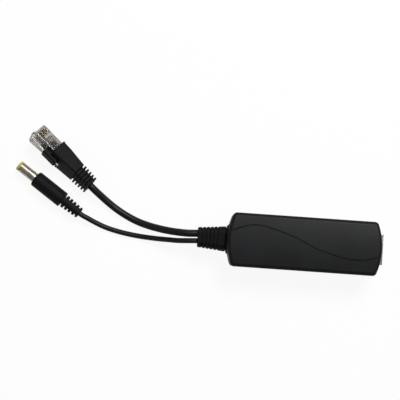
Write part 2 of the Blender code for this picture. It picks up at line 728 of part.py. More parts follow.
def network_jack():
    """Shield can, moulded body and eight spring contacts of the network socket."""
    half = JACK_WIDTH / 2
    shield = box("jack_shield", (JACK_BACK, -half, JACK_FLOOR), (JACK_FRONT, half, JACK_TOP),
                 NICKEL)
    cut(shield, box("shield_hollow",
                    (JACK_BACK + SHIELD_SHEET, -half + SHIELD_SHEET, JACK_FLOOR - SEAT),
                    (JACK_FRONT - SHIELD_SHEET, half - SHIELD_SHEET, JACK_TOP - SHIELD_SHEET)))
    window = SOCKET_WIDTH / 2 + 2 * FINE_FIT
    cut(shield, box("shield_window",
                    (JACK_FRONT - 2 * SHIELD_SHEET, -window, SOCKET_Z - KEYWAY_DROP - FINE_FIT),
                    (JACK_FRONT + SEAT, window, SOCKET_Z + SOCKET_HEIGHT + FINE_FIT)))

    skin = SHIELD_SHEET + FINE_FIT
    body_front = JACK_FRONT - skin
    body_back = JACK_BACK + skin + CONTACT_TAIL_SPACE
    body = box("jack_body", (body_back, -half + skin, JACK_FLOOR),
               (body_front, half - skin, JACK_TOP - skin), JACK_PLASTIC)
    back_wall = body_front - SOCKET_DEPTH
    contact_top = SOCKET_Z + SOCKET_HEIGHT
    comb = CONTACT_COUNT * CONTACT_PITCH / 2 + FINE_FIT
    hollows = (
        ((back_wall, -SOCKET_WIDTH / 2, SOCKET_Z),
         (JACK_FRONT, SOCKET_WIDTH / 2, contact_top)),
        ((back_wall, -KEYWAY_WIDTH / 2, SOCKET_Z - KEYWAY_DROP),
         (JACK_FRONT, KEYWAY_WIDTH / 2, contact_top - SEAT)),
        ((body_back - SEAT, -comb, contact_top - SEAT),
         (body_front - SOCKET_LIP, comb, contact_top + 4 * CONTACT_WIRE)),
    )
    for index, (low, high) in enumerate(hollows):
        cut(body, box(f"socket_hollow_{index + 1}", low, high))

    run_z = contact_top + 2.6 * CONTACT_WIRE
    bend = 1.4 * CONTACT_WIRE
    bend_x = body_front - SOCKET_LIP - 3 * CONTACT_WIRE
    free_end = (back_wall + CONTACT_END_GAP, contact_top - CONTACT_DROOP)
    for index, (y, pin_x) in enumerate(contact_rows()):
        points = [(pin_x, y, BOARD_UNDERSIDE - SEAT), (pin_x, y, run_z - bend),
                  (pin_x + bend * 0.3, y, run_z - bend * 0.3), (pin_x + bend, y, run_z)]
        for step in range(5):
            angle = math.radians(90 - 45 * step)
            points.append((bend_x + bend * math.cos(angle), y,
                           run_z - bend + bend * math.sin(angle)))
        points.append((free_end[0], y, free_end[1]))
        tube(f"jack_contact_{index + 1}", points, CONTACT_WIRE, GOLD, resolution=0)


def spot(along, across):
    """A place on the board's layout grid: cells from its cable end and from its middle."""
    return BOARD_LEFT + along * CELL_LONG, across * CELL_WIDE


def power_transformer(along, across):
    """Ferrite core with two windows and the taped winding round its middle leg."""
    x, y = spot(along, across)
    half_depth = CORE_DEPTH / 2
    core = box("transformer_core", (x - CORE_LENGTH / 2, y - half_depth, PARTS_FLOOR),
               (x + CORE_LENGTH / 2, y + half_depth, PARTS_FLOOR + TALLEST_PART), FERRITE)
    low = PARTS_FLOOR + CORE_YOKE
    high = PARTS_FLOOR + TALLEST_PART - CORE_YOKE
    openings = []
    for side in (-1, 1):
        near = x + side * CORE_LEG / 2
        far = near + side * CORE_WINDOW
        openings.append(((min(near, far), y - CORE_DEPTH, low),
                         (max(near, far), y + CORE_DEPTH, high)))
    cut(core, boxes("core_windows", openings))
    reach = CORE_LEG / 2 + CORE_WINDOW - SEAT
    winding = box("transformer_winding", (x - reach, y - WINDING_DEPTH / 2, low + SEAT),
                  (x + reach, y + WINDING_DEPTH / 2, high - SEAT), TAPE,
                  radius=WINDING_CORNER, axis=2)
    cut(winding, box("leg_hole", (x - CORE_LEG / 2 - SEAT, y - half_depth - SEAT, 0),
                     (x + CORE_LEG / 2 + SEAT, y + half_depth + SEAT, CASE_HEIGHT)))


def capacitor(name, along, across):
    """An upright electrolytic can with its rolled groove."""
    radius = CAN_DIAMETER / 2
    height = TALLEST_PART - CAN_BELOW_TALLEST
    dip = CAN_GROOVE_DEPTH
    profile = [(height, 0), (height, radius - dip), (height - dip, radius),
               (CAN_GROOVE + dip, radius), (CAN_GROOVE, radius - dip),
               (CAN_GROOVE - dip, radius), (0, radius), (0, 0)]
    turned(name, profile, CAN, ROOT, 20, foot=(*spot(along, across), PARTS_FLOOR),
           upright=True)


def drum_inductor(along, across):
    """A ferrite drum with its winding, turned as one shape."""
    radius = DRUM_DIAMETER / 2
    waist = DRUM_WAIST / 2
    profile = [(DRUM_HEIGHT, 0), (DRUM_HEIGHT, radius), (DRUM_HEIGHT - DRUM_FLANGE, radius),
               (DRUM_HEIGHT - DRUM_FLANGE, waist), (DRUM_FLANGE, waist),
               (DRUM_FLANGE, radius), (0, radius), (0, 0)]
    turned("output_inductor", profile, COPPER, ROOT, 20,
           foot=(*spot(along, across), PARTS_FLOOR), upright=True)


def chip(name, place, cells, height, feet_per_side):
    """A moulded chip with a row of feet along each long side, set on the board."""
    x, y = spot(*place)
    length = cells[0] * CELL_LONG
    width = cells[1] * CELL_WIDE
    body = box(name, (x - length / 2, y - width / 2, PARTS_FLOOR),
               (x + length / 2, y + width / 2, PARTS_FLOOR + height), EPOXY)
    feet = []
    for index in range(feet_per_side):
        foot_x = x + (index - (feet_per_side - 1) / 2) * length / feet_per_side
        for side in (-1, 1):
            inner = y + side * (width / 2 - CHIP_FOOT_WIDTH)
            outer = y + side * (width / 2 + CHIP_FOOT_REACH)
            feet.append(((foot_x - CHIP_FOOT_WIDTH / 2, min(inner, outer), PARTS_FLOOR),
                         (foot_x + CHIP_FOOT_WIDTH / 2, max(inner, outer),
                          PARTS_FLOOR + CHIP_FOOT_HEIGHT)))
    join(body, boxes(name + "_feet", feet))


def board_parts():
    """The larger parts of the power converter and the line transformer."""
    power_transformer(22.8, -3.4)
    capacitor("input_capacitor", 9.3, 6.2)
    capacitor("output_capacitor", 44.3, -6.4)
    drum_inductor(35.3, -6.2)
    chip("bridge_rectifier_1", (8.9, -1.6), (4.8, 3.4), CHIP_HEIGHT, 2)
    chip("bridge_rectifier_2", (8.9, -8.2), (4.8, 3.4), CHIP_HEIGHT, 2)
    chip("controller_chip", (20.8, 7.4), (5.0, 4.0), CHIP_HEIGHT * 0.7, 4)
    chip("switching_transistor", (29.7, 7.4), (5.6, 4.8), CHIP_HEIGHT * 0.9, 2)
    chip("optocoupler", (37.3, 7.6), (4.6, 4.4), CHIP_HEIGHT * 1.4, 2)
    chip("rectifier_diode", (35.3, 1.0), (4.4, 2.6), CHIP_HEIGHT * 0.9, 1)
    chip("line_transformer", (45.6, 4.6), (8.6, 8.8), LINE_TRANSFORMER_HEIGHT, 6)


def in_plug(frame_turn, nose, place):
    """A point on a plug's axis, a distance behind its nose, seen from the case's middle."""
    turn, pitch, yaw = (math.radians(angle) for angle in frame_turn)
    level = math.cos(pitch)
    axis = Vector((math.cos(yaw) * level, math.sin(yaw) * level, -math.sin(pitch)))
    return nose + axis * place


def free_cables():
    """Both cables: out of the case, through the boot, along the table and into their plugs."""
    height = CASE_HEIGHT / 2
    runs = (
        ("data_cable", DATA_Y, DATA_CABLE, DATA_ROUTE, DATA_PLUG_TURN, DATA_PLUG_NOSE,
         (PLUG_END + DATA_CABLE / 2, PLUG_END - DATA_CABLE, SLEEVE_END,
          (SLEEVE_END + PLUG_LENGTH) / 2, PLUG_LENGTH,
          (PLUG_LENGTH + JACKET_IN_PLUG) / 2, JACKET_IN_PLUG)),
        ("power_cable", POWER_Y, POWER_CABLE, POWER_ROUTE, POWER_PLUG_TURN, POWER_PLUG_TIP,
         (POWER_PLUG_END + POWER_CABLE / 2, POWER_PLUG_END - POWER_CABLE, GRIP_END,
          (GRIP_END + GRIP_START + BARREL_IN_GRIP) / 2,
          GRIP_START + BARREL_IN_GRIP + 2 * SEAT)),
    )
    for name, y, diameter, route, turn, nose, inside in runs:
        straight = [JACKET_END, (JACKET_END + COLLAR_FACE) / 2, COLLAR_FACE,
                    (COLLAR_FACE + BOOT_END) / 2, BOOT_END + DATA_CABLE, BOOT_END]
        points = [Vector((x, y, height)) for x in straight]
        points += [Vector(point) * MM for point in route]
        points += [in_plug(turn, nose, place) for place in inside]
        tube(name, smooth_route(points, diameter * ROUTE_POINT_SPACING), diameter, RUBBER)


def inner_leads():
    """The wires inside the case, from the two jackets down to the board's pads."""
    start = JACKET_END + SEAT
    pad_x = BOARD_LEFT + PAD_INSET
    height = CASE_HEIGHT / 2
    spread = 0.72 * LEAD_DIAMETER
    jobs = []
    for index, colour in enumerate(("orange", "green", "blue", "brown")):
        side = -1 if index < 2 else 1
        up = -1 if index % 2 == 0 else 1
        jobs.append((f"pair_lead_{index + 1}", colour, DATA_Y + side * spread,
                     height + up * spread, DATA_Y + (index - 0.6) * LEAD_PITCH))
    for index, colour in enumerate(("red", "black")):
        up = -1 if index == 0 else 1
        jobs.append((f"dc_lead_{index + 1}", colour, POWER_Y,
                     height + up * spread, POWER_Y - (index - 0.1) * LEAD_PITCH))
    for name, colour, y, z, pad_y in jobs:
        drop = z - PARTS_FLOOR
        route = [(start, y, z), (start + LEAD_DIAMETER, y, z),
                 ((start + pad_x + LEAD_DIAMETER) / 2, (y + pad_y) / 2, z - 0.15 * drop),
                 (pad_x, pad_y, z - 0.5 * drop), (pad_x, pad_y, PARTS_FLOOR + LEAD_DIAMETER),
                 (pad_x, pad_y, PARTS_FLOOR)]
        tube(name, smooth_route(route, 1.3 * LEAD_DIAMETER), LEAD_DIAMETER,
             LEAD_COLOURS[colour], resolution=1)


def network_plug():
    """Clear plug body with its latch, eight contact blades and the eight wires behind them."""
    half_w = PLUG_WIDTH / 2
    half_t = PLUG_THICKNESS / 2
    body = box("plug_body", (0, -half_w, -half_t), (PLUG_LENGTH, half_w, half_t), CLEAR,
               DATA_PLUG)

    under = half_t + LATCH_RISE
    over = under + LATCH_THICKNESS
    proud = LATCH_ROOT_PROUD
    tail = LATCH_SWELL
    root = LATCH_ROOT
    outline = [(root, half_t - root), (root, half_t), (LATCH_THICKNESS, under),
               (LATCH_LENGTH * 0.45, under), (LATCH_LENGTH * 0.75, under + tail / 2),
               (LATCH_LENGTH, under + tail / 4), (LATCH_LENGTH, over - tail / 4),
               (LATCH_LENGTH * 0.75, over + tail / 2), (LATCH_LENGTH * 0.45, over),
               (LATCH_THICKNESS / 2, over), (-proud / 2, over - proud / 2),
               (-proud, under - proud / 2), (-proud, half_t - root / 2),
               (-proud / 2, half_t - root)]
    latch = prism("latch", outline, -LATCH_WIDTH / 2, LATCH_WIDTH / 2, None, DATA_PLUG)
    bm = bmesh.new()
    bm.from_mesh(latch.data)
    for place in (LATCH_THICKNESS, LATCH_LENGTH * 0.45):
        bmesh.ops.bisect_plane(bm, geom=bm.verts[:] + bm.edges[:] + bm.faces[:],
                               plane_co=(place, 0, 0), plane_no=(1, 0, 0))
    for vertex in bm.verts:
        if vertex.co.x > LATCH_LENGTH * 0.4:
            vertex.co.y *= LATCH_TAIL_WIDTH / LATCH_WIDTH
    bm.to_mesh(latch.data)
    bm.free()
    join(body, latch)

    comb = (CONTACT_COUNT - 1) * CONTACT_PITCH
    channel_top = -half_t + BLADE_RECESS + BLADE_HEIGHT + SEAT
    channel_start = BLADE_START + BLADE_LENGTH
    channel_half = comb / 2 + PLUG_WIRE / 2 + FINE_FIT
    funnel_start = JACKET_IN_PLUG - 5 * PLUG_WIRE
    cut(body, box("wire_channel", (channel_start, -channel_half, channel_top - SEAT),
                  (PLUG_LENGTH, channel_half, channel_top - SEAT + WIRE_CHANNEL_HEIGHT),
                  parent=DATA_PLUG))
    cut(body, box("jacket_room", (funnel_start, -half_w + PLUG_WALL, -half_t + PLUG_WALL),
                  (PLUG_LENGTH + SEAT, half_w - PLUG_WALL, half_t - PLUG_WALL),
                  parent=DATA_PLUG))
    middle = (CONTACT_COUNT - 1) / 2
    slot_half = BLADE_THICKNESS / 2 + FINE_FIT
    slots = []
    for index in range(CONTACT_COUNT):
        y = (index - middle) * CONTACT_PITCH
        slots.append(((BLADE_START - FINE_FIT, y - slot_half, -half_t - SEAT),
                      (channel_start + FINE_FIT, y + slot_half, channel_top)))
    cut(body, boxes("blade_slots", slots, parent=DATA_PLUG))

    wire_z = channel_top - SEAT + WIRE_CHANNEL_HEIGHT / 2
    wire_start = channel_start + SEAT
    colours = ("orange", "orange", "green", "blue", "blue", "green", "brown", "brown")
    for index in range(CONTACT_COUNT):
        y = (index - middle) * CONTACT_PITCH
        box(f"plug_contact_{index + 1}",
            (BLADE_START, y - BLADE_THICKNESS / 2, -half_t + BLADE_RECESS),
            (BLADE_START + BLADE_LENGTH, y + BLADE_THICKNESS / 2,
             -half_t + BLADE_RECESS + BLADE_HEIGHT), GOLD, DATA_PLUG)
        column = (index // 2 - 1.5) * 1.28 * PLUG_WIRE
        row = (index % 2 - 0.5) * 1.35 * PLUG_WIRE
        end = JACKET_IN_PLUG - SEAT
        route = [(wire_start, y, wire_z), (funnel_start, y, wire_z),
                 ((funnel_start + end) / 2, 0.65 * y + 0.35 * column, wire_z / 2 + row),
                 (end - PLUG_WIRE / 2, column, row), (end, column, row)]
        tube(f"plug_wire_{index + 1}", route, PLUG_WIRE, LEAD_COLOURS[colours[index]],
             DATA_PLUG, resolution=1)


def plug_boot():
    """The rubber sleeve over the plug's rear half, with a ribbed tail and the latch's guards."""
    stations = [(SLEEVE_START, SLEEVE_FRONT), (SLEEVE_SHOULDER, SLEEVE_MIDDLE),
                (SLEEVE_END, SLEEVE_REAR)]
    gap = PLUG_RIB_PITCH - PLUG_RIB_THICKNESS
    for index in range(PLUG_RIBS):
        rib = between(PLUG_RIB_FIRST, PLUG_RIB_LAST, index / (PLUG_RIBS - 1))
        start = SLEEVE_END + index * PLUG_RIB_PITCH
        lip = gap / 8
        stations += [(start + lip, PLUG_CORE), (start + gap - lip, PLUG_CORE),
                     (start + gap, rib), (start + PLUG_RIB_PITCH, rib)]
    boot = sectioned("plug_boot", stations, SLEEVE_CORNER, RUBBER, DATA_PLUG)
    tongue_low = PLUG_THICKNESS / 2 + SEAT
    tongue = prism("tongue", [(TONGUE_TIP, tongue_low), (SLEEVE_SHOULDER, tongue_low),
                              (SLEEVE_SHOULDER, tongue_low + TONGUE_THICKNESS),
                              (TONGUE_TIP, tongue_low + TONGUE_THICKNESS / 2)],
                   -TONGUE_WIDTH / 2, TONGUE_WIDTH / 2, None, DATA_PLUG)
    for vertex in tongue.data.vertices:
        if vertex.co.x < TONGUE_TIP + SEAT:
            vertex.co.y *= 0.2
    web = boxes("tail_web", [((SLEEVE_END - SEAT, -PLUG_WEB / 2, -PLUG_RIB_LAST[1] / 2 + SEAT),
                              (PLUG_END - SEAT, PLUG_WEB / 2, PLUG_RIB_LAST[1] / 2 - SEAT))],
                parent=DATA_PLUG)
    cheeks = []
    for side in (-1, 1):
        near = side * CHEEK_GAP
        far = side * (CHEEK_GAP + CHEEK_THICKNESS)
        cheeks.append(((CHEEK_START, min(near, far), CHEEK_LOW),
                       (CHEEK_END, max(near, far), CHEEK_HIGH)))
    join(join(join(boot, tongue), web), boxes("latch_cheeks", cheeks, parent=DATA_PLUG))
    half_w = PLUG_WIDTH / 2 + SEAT
    half_t = PLUG_THICKNESS / 2 + SEAT
    cut(boot, box("plug_room", (SLEEVE_START - SEAT, -half_w, -half_t),
                  (PLUG_LENGTH + SEAT, half_w, half_t), parent=DATA_PLUG))
    cut(boot, rods("data_tail_bore", [(PLUG_LENGTH, 0, 0)], PLUG_END - PLUG_LENGTH + SEAT,
                   DATA_CABLE + 2 * BORE_FIT, "X", parent=DATA_PLUG, sides=20))


def power_plug():
    """Barrel, insulator, pin tube and grip of the DC plug, its tail notched from two sides."""
    outer = BARREL_DIAMETER / 2
    bore = BARREL_BORE / 2
    barrel_end = GRIP_START + BARREL_IN_GRIP
    turned("barrel_sleeve", [(barrel_end, outer), (TIP_RING + FINE_FIT, outer),
                             (TIP_RING + FINE_FIT, bore), (barrel_end, bore)],
           NICKEL, POWER_PLUG, 24)
    liner = bore - FINE_FIT
    hole = PIN_TUBE_OUTER / 2 + FINE_FIT
    soft = 0.3 * MM
    turned("tip_insulator", [(barrel_end, liner), (TIP_RING, liner), (TIP_RING, outer),
                             (soft, outer), (0, outer - soft), (0, hole), (barrel_end, hole)],
           YELLOW, POWER_PLUG, 24)
    turned("pin_tube", [(barrel_end, PIN_TUBE_OUTER / 2), (PIN_TUBE_RECESS, PIN_TUBE_OUTER / 2),
                        (PIN_TUBE_RECESS, PIN_TUBE_BORE / 2), (barrel_end, PIN_TUBE_BORE / 2)],
           NICKEL, POWER_PLUG, 16)

    radius = GRIP_DIAMETER / 2
    barrel_hole = outer + BORE_FIT
    cable_hole = POWER_CABLE / 2 + BORE_FIT
    room_end = barrel_end + SEAT
    profile = [(POWER_PLUG_END, GRIP_TAIL_LAST / 2), (GRIP_END, GRIP_TAIL_FIRST / 2),
               (GRIP_END, radius - GRIP_ROUND / 3), (GRIP_END - GRIP_ROUND / 3, radius),
               (GRIP_START + GRIP_ROUND, radius),
               (GRIP_START + GRIP_ROUND * 0.3, radius - GRIP_ROUND * 0.3),
               (GRIP_START, radius - GRIP_ROUND), (GRIP_START, barrel_hole),
               (room_end, barrel_hole), (room_end, cable_hole), (POWER_PLUG_END, cable_hole)]
    grip = turned("power_plug_grip", profile, RUBBER, POWER_PLUG, 24)
    notches = []
    for index in range(GRIP_NOTCHES):
        start = GRIP_END + index * GRIP_NOTCH_PITCH
        for side in (-1, 1):
            near = side * GRIP_WEB / 2
            far = side * radius
            notches.append(((start, min(near, far), -radius),
                            (start + GRIP_NOTCH_WIDTH, max(near, far), radius)))
    cut(grip, boxes("tail_notches", notches, parent=POWER_PLUG))


case_shells()
cable_boot()
circuit_board()
network_jack()
board_parts()
free_cables()
inner_leads()
network_plug()
plug_boot()
power_plug()
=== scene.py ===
"""PoE splitter, dressed on its CAD model: a two-shell case with a network socket, and a cable
boot with two short cables that end in a network plug and a DC plug.

Metres, +Z up. Shapes are made from the middle of the case, or along a plug, and then put in place.
"""

import math

import bmesh
import bpy
from bpy.props import FloatProperty, FloatVectorProperty, PointerProperty
from mathutils import Euler, Matrix, Vector


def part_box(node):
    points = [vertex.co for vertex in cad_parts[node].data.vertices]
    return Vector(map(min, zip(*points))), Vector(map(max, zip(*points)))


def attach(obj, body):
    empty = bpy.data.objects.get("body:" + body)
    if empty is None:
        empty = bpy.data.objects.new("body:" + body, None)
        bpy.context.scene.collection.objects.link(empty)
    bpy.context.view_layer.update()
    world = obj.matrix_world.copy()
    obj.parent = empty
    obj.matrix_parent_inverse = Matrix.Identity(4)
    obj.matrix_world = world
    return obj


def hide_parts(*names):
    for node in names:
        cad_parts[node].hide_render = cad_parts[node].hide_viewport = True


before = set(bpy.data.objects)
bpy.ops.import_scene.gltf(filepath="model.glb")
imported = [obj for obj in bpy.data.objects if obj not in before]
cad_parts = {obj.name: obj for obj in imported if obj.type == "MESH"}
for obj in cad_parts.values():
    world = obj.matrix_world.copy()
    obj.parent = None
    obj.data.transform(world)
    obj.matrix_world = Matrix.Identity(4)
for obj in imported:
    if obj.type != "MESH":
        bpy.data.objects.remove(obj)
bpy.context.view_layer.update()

bl_info = {
    "name": "PoE splitter",
    "version": (1, 0, 0),
    "blender": (4, 5, 0),
    "location": "View3D > Sidebar > Splitter",
    "description": "Builds the case, socket, boots, cables and plugs of a PoE splitter",
    "category": "Object",
}

MM = 0.001

# Fits
SEAT = 0.3 * MM            # gap where one piece rests on or against another
FINE_FIT = 0.15 * MM       # gap round small moulded-in metal pieces
BORE_FIT = 0.2 * MM        # gap between a cable and its bore
HAIR = 0.01 * MM           # nearer than this counts as the same place
MERGE = 0.001 * MM         # corners nearer than this are merged

# Case
CASE_LENGTH = 79.8 * MM
CASE_WIDTH = 28.0 * MM
CASE_HEIGHT = 23.0 * MM
CASE_WALL = 1.8 * MM
END_BOW = 2.7 * MM
CORNER_RADIUS = 2.2 * MM
SEAM_HEIGHT = 11.5 * MM
SEAM_GAP = 0.3 * MM
LIP_HEIGHT = 1.0 * MM
LIP_THICKNESS = 0.8 * MM
HALF_LENGTH = CASE_LENGTH / 2
HALF_WIDTH = CASE_WIDTH / 2
BOW_RADIUS = (HALF_WIDTH ** 2 + END_BOW ** 2) / (2 * END_BOW)
CROWN = 0.5 * MM           # how far the lid's top falls from its middle line to its long edges
CROWN_STRIPS = 14
CROWN_DEPTH = 2.5 * MM     # what is less than this below the top falls with it
SEAM_ROUND = 0.12 * MM
COLLAR_ROUND = 0.3 * MM
GROOVE_ROUND = 0.09 * MM

# Socket
JACK_WIDTH = 16.2 * MM
JACK_FLOOR = 6.3 * MM
JACK_TOP = 19.8 * MM
JACK_FRONT = HALF_LENGTH + 0.8 * MM
JACK_BACK = JACK_FRONT - 21.3 * MM
SHIELD_SHEET = 0.3 * MM
SHIELD_ROUND = 0.35 * MM
SOCKET_WIDTH = 11.9 * MM
SOCKET_LOW = 9.6 * MM
SOCKET_HIGH = 16.5 * MM
KEYWAY_DROP = 2.0 * MM

# Boot and collar
COLLAR = (13.8 * MM, 11.4 * MM)
COLLAR_SPREAD = 2.8 * MM
COLLAR_SLOPE = 1.4 * MM
COLLAR_DEPTH = 3.1 * MM
COLLAR_FACE = -HALF_LENGTH - 0.5 * MM
BOOT_END = COLLAR_FACE - 15.1 * MM
BOOT_BASE = (13.3 * MM, 9.8 * MM)
BOOT_TIP = (10.7 * MM, 7.8 * MM)
BOOT_NECK = (10.4 * MM, 7.6 * MM)
BOOT_NOTCH = 0.6 * MM
BOOT_TIP_ROUND = 0.8 * MM
BOOT_PLAIN = 3.6 * MM
BOOT_GROOVES = 5
BOOT_GROOVE_WIDTH = 0.75 * MM
BOOT_GROOVE_DEPTH = 0.45 * MM
BOOT_ROUND = 0.14 * MM
BOOT_CORNER = 0.42         # corner radius as a share of the height
FLANGE_FACE = COLLAR_FACE + COLLAR_DEPTH + SEAT
FLANGE_BACK = FLANGE_FACE + 1.5 * MM
BOOT_FLANGE = (13.4 * MM, 10.6 * MM)
JACKET_END = FLANGE_BACK + 1.6 * MM

# Network plug: nose at 0, rear towards +X, width along Y, latch side towards +Z
PLUG_LENGTH = 21.5 * MM
PLUG_WIDTH = 11.7 * MM
PLUG_THICKNESS = 6.6 * MM
PLUG_WALL = 1.1 * MM
PLUG_ROUND = 0.3 * MM
BLADE_START = 1.1 * MM
BLADE_LENGTH = 3.2 * MM
BLADE_HEIGHT = 3.4 * MM
BLADE_THICKNESS = 0.35 * MM
BLADE_RECESS = 0.9 * MM
BLADE_PITCH = 1.02 * MM
BLADES = 8
PLUG_WIRE = 0.72 * MM
WIRE_TIP_RISE = 0.35 * MM  # middle of the wires' tips above the channel
SIDE_RIB = (12.9 * MM, 13.35 * MM, -2.6 * MM, 2.2 * MM)   # on one side: from, to, low, high
FACE_RIB = (12.4 * MM, 12.9 * MM, 0.2 * MM, 5.1 * MM)     # on the latch's side
MOULD_RIB_PROUD = 0.2 * MM
MOULD_RIB_ROUND = 0.1 * MM
JACKET_IN_PLUG = 9.9 * MM
JACKET_FRONT = JACKET_IN_PLUG - 0.6 * MM
JACKET_FRAY = (0, 1.0, 0.3, 1.5, 0.6)   # how far its cut end steps back, in mm
JACKET_SIDE_FIT = 0.06 * MM
JACKET_BORE_FIT = 0.1 * MM
JACKET_LOW = -1.3 * MM
JACKET_HIGH = 2.14 * MM
LATCH_WIDTH = 6.0 * MM
LATCH_TAIL_WIDTH = 3.4 * MM
LATCH_LENGTH = 20.6 * MM
LATCH_THICKNESS = 1.0 * MM
LATCH_RISE = 1.55 * MM
LATCH_ROOT_PROUD = 1.1 * MM
LATCH_ROOT = 1.6 * MM
LATCH_SWELL = 0.9 * MM
LATCH_NARROWS = 0.45 * LATCH_LENGTH
LATCH_LEVELS = 0.95 * LATCH_LENGTH
LATCH_ROUND = 0.12 * MM
SLEEVE_START = 13.7 * MM
SLEEVE_SHOULDER = 19.6 * MM
SLEEVE_END = 30.0 * MM
SLEEVE_FRONT = (13.5 * MM, 8.8 * MM)
SLEEVE_MIDDLE = (13.2 * MM, 8.5 * MM)
SLEEVE_REAR = (12.0 * MM, 6.9 * MM)
SLEEVE_CORNER = 0.9 * MM
SLEEVE_ROUND = 0.18 * MM
BEAD = 0.35 * MM
BEAD_LENGTH = 0.7 * MM
BEAD_SLOPE = 0.2 * MM
SPOT = (19.6 * MM, 6.22 * MM, 1.0 * MM)
SPOT_WIDTH = 1.3 * MM
SPOT_HEIGHT = 0.5 * MM
SPOT_ROUND = 0.08 * MM
TONGUE_TIP = 6.0 * MM
TONGUE_WIDTH = 5.6 * MM
TONGUE_THICKNESS = 0.9 * MM
TONGUE_TAPER = 0.2         # width of its tip as a share of its width
TONGUE_ROUND = 0.15 * MM
GUARD_START = 9.8 * MM
GUARD_END = 18.4 * MM
GUARD_GAP = 2.0 * MM
GUARD_THICKNESS = 0.85 * MM
GUARD_LOW = 3.62 * MM
GUARD_ROOF = 6.05 * MM
GUARD_HIGH = 6.5 * MM
GUARD_ROUND = 0.8 * MM
RIBS = 5
RIB_PITCH = 1.96 * MM
RIB_THICKNESS = 0.95 * MM
RIB_FIRST = (12.0 * MM, 7.4 * MM)
RIB_LAST = (11.6 * MM, 6.3 * MM)
RIB_CORE = (8.0 * MM, 5.4 * MM)
RIB_WEB = 4.0 * MM
WEB_ROUND = 0.2 * MM
PLUG_END = SLEEVE_END + RIBS * RIB_PITCH

# DC plug: tip at 0, rear towards +X
BARREL_RADIUS = 2.75 * MM
BARREL_BORE = 2.35 * MM
BARREL_END = 15.4 * MM
BARREL_ROUND = 0.08 * MM
TIP_RING = 1.4 * MM
TIP_ROUND = 0.3 * MM
PIN_OUTER = 1.5 * MM
PIN_BORE = 1.05 * MM
PIN_RECESS = 0.7 * MM
PIN_ROUND = 0.06 * MM
GRIP_START = 11.4 * MM
GRIP_END = GRIP_START + 18.6 * MM
GRIP_RADIUS = 4.35 * MM
GRIP_NOTCHES = 5
GRIP_NOTCH_PITCH = 2.3 * MM
GRIP_NOTCH_WIDTH = 1.3 * MM
GRIP_TAIL = (3.8 * MM, 3.05 * MM)
GRIP_WEB = 4.1 * MM
GRIP_FRONT_ROUND = 0.75 * MM
GRIP_ROUND = 0.25 * MM
OBLONG = ((16.7, -0.7, 3.8), (23.3, 0.7, 4.46))   # corners of the raised oblong, in mm
OBLONG_TURN = -9           # degrees about the grip
OBLONG_END_ROUND = 0.66 * MM
OBLONG_ROUND = 0.07 * MM
POWER_PLUG_END = GRIP_END + GRIP_NOTCHES * GRIP_NOTCH_PITCH

# Cables
DATA_DIAMETER = 3.9 * MM
POWER_DIAMETER = 2.8 * MM
DATA_Y = 1.95 * MM
POWER_Y = -1.95 * MM
MID_HEIGHT = CASE_HEIGHT / 2

# Where things lie: the case's middle in the frame, and each plug from there
CASE_MIDDLE = Matrix.Translation((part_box("lower_case")[1].x - HALF_LENGTH, 0, 0))


def placed(nose, turn):
    """A plug's own axes: its nose in mm from the case's middle, and its turn in degrees."""
    angles = Euler([math.radians(angle) for angle in turn])
    return CASE_MIDDLE @ Matrix.Translation(Vector(nose) * MM) @ angles.to_matrix().to_4x4()


POWER_PLUG_TURN = (0, 0, -34.4)
FLOW_TURN = -41            # degrees, about along the network plug
DATA_PLUG = placed((-144.45, 49.8, 8.9), (64.0, 3.5, -41.3))
POWER_PLUG = placed((-153.75, 32.0, 4.42), POWER_PLUG_TURN)

# Free routes of the cables from boot to plug, in mm from the case's middle
DATA_ROUTE = (
    (-60.5, 1.7, 11.4), (-66.0, 1.9, 10.3), (-71.5, 2.45, 8.3), (-77.0, 3.35, 5.9),
    (-82.7, 4.6, 3.7), (-88.5, 6.4, 2.4), (-94.5, 9.1, 2.0), (-100.3, 12.4, 2.2),
    (-105.4, 16.0, 3.3), (-109.9, 19.6, 5.0),
)
POWER_ROUTE = (
    (-60.5, -2.25, 11.3), (-65.5, -2.5, 10.1), (-70.5, -2.4, 7.9), (-75.5, -2.25, 5.1),
    (-81.0, -1.95, 2.7), (-87.0, -1.45, 1.6), (-93.0, -0.7, 1.45), (-99.5, 0.5, 1.45),
    (-105.5, 2.1, 1.8), (-110.6, 4.1, 2.8), (-114.9, 6.1, 3.8),
)

# The groove on the lid, in shares of the half length and half width
SWEEP = (
    (-1.03, 0.22), (-0.945, 0.33), (-0.76, 0.52), (-0.604, 0.565), (-0.343, 0.407),
    (-0.07, 0.135), (0.13, -0.13), (0.316, -0.295), (0.53, -0.44), (0.675, -0.47),
    (0.81, -0.435), (0.96, -0.3), (1.03, -0.24),
)

# The stage, in metres: each lamp's place, what it points at and its side
KEY_LAMP = (0.19, 0.46, 0.78), (-0.02, 0.01, 0.01), 0.35
FILL_LAMP = (-0.55, 0.1, 0.45), (-0.1, 0.02, 0.01), 0.3
SKY = 0.22                 # strength of the world's light on the splitter
FLOOR_WHITE = 0.92         # share of plain white that the camera sees in the floor
FLOOR_SIDE = 4.0
CAMERA_PLACE = Vector((-48.26, -10.0, 450.0)) * MM
CAMERA_AIM = Vector((-48.088, 18.837, 23.0)) * MM
CAMERA_ROLL = math.radians(3.994)


# ---------------------------------------------------------------- colours and nodes

def linear(code):
    """An sRGB hex colour as linear red, green and blue."""
    made = []
    for start in (1, 3, 5):
        value = int(code[start:start + 2], 16) / 255
        made.append(value / 12.92 if value <= 0.04045 else ((value + 0.055) / 1.055) ** 2.4)
    return tuple(made)


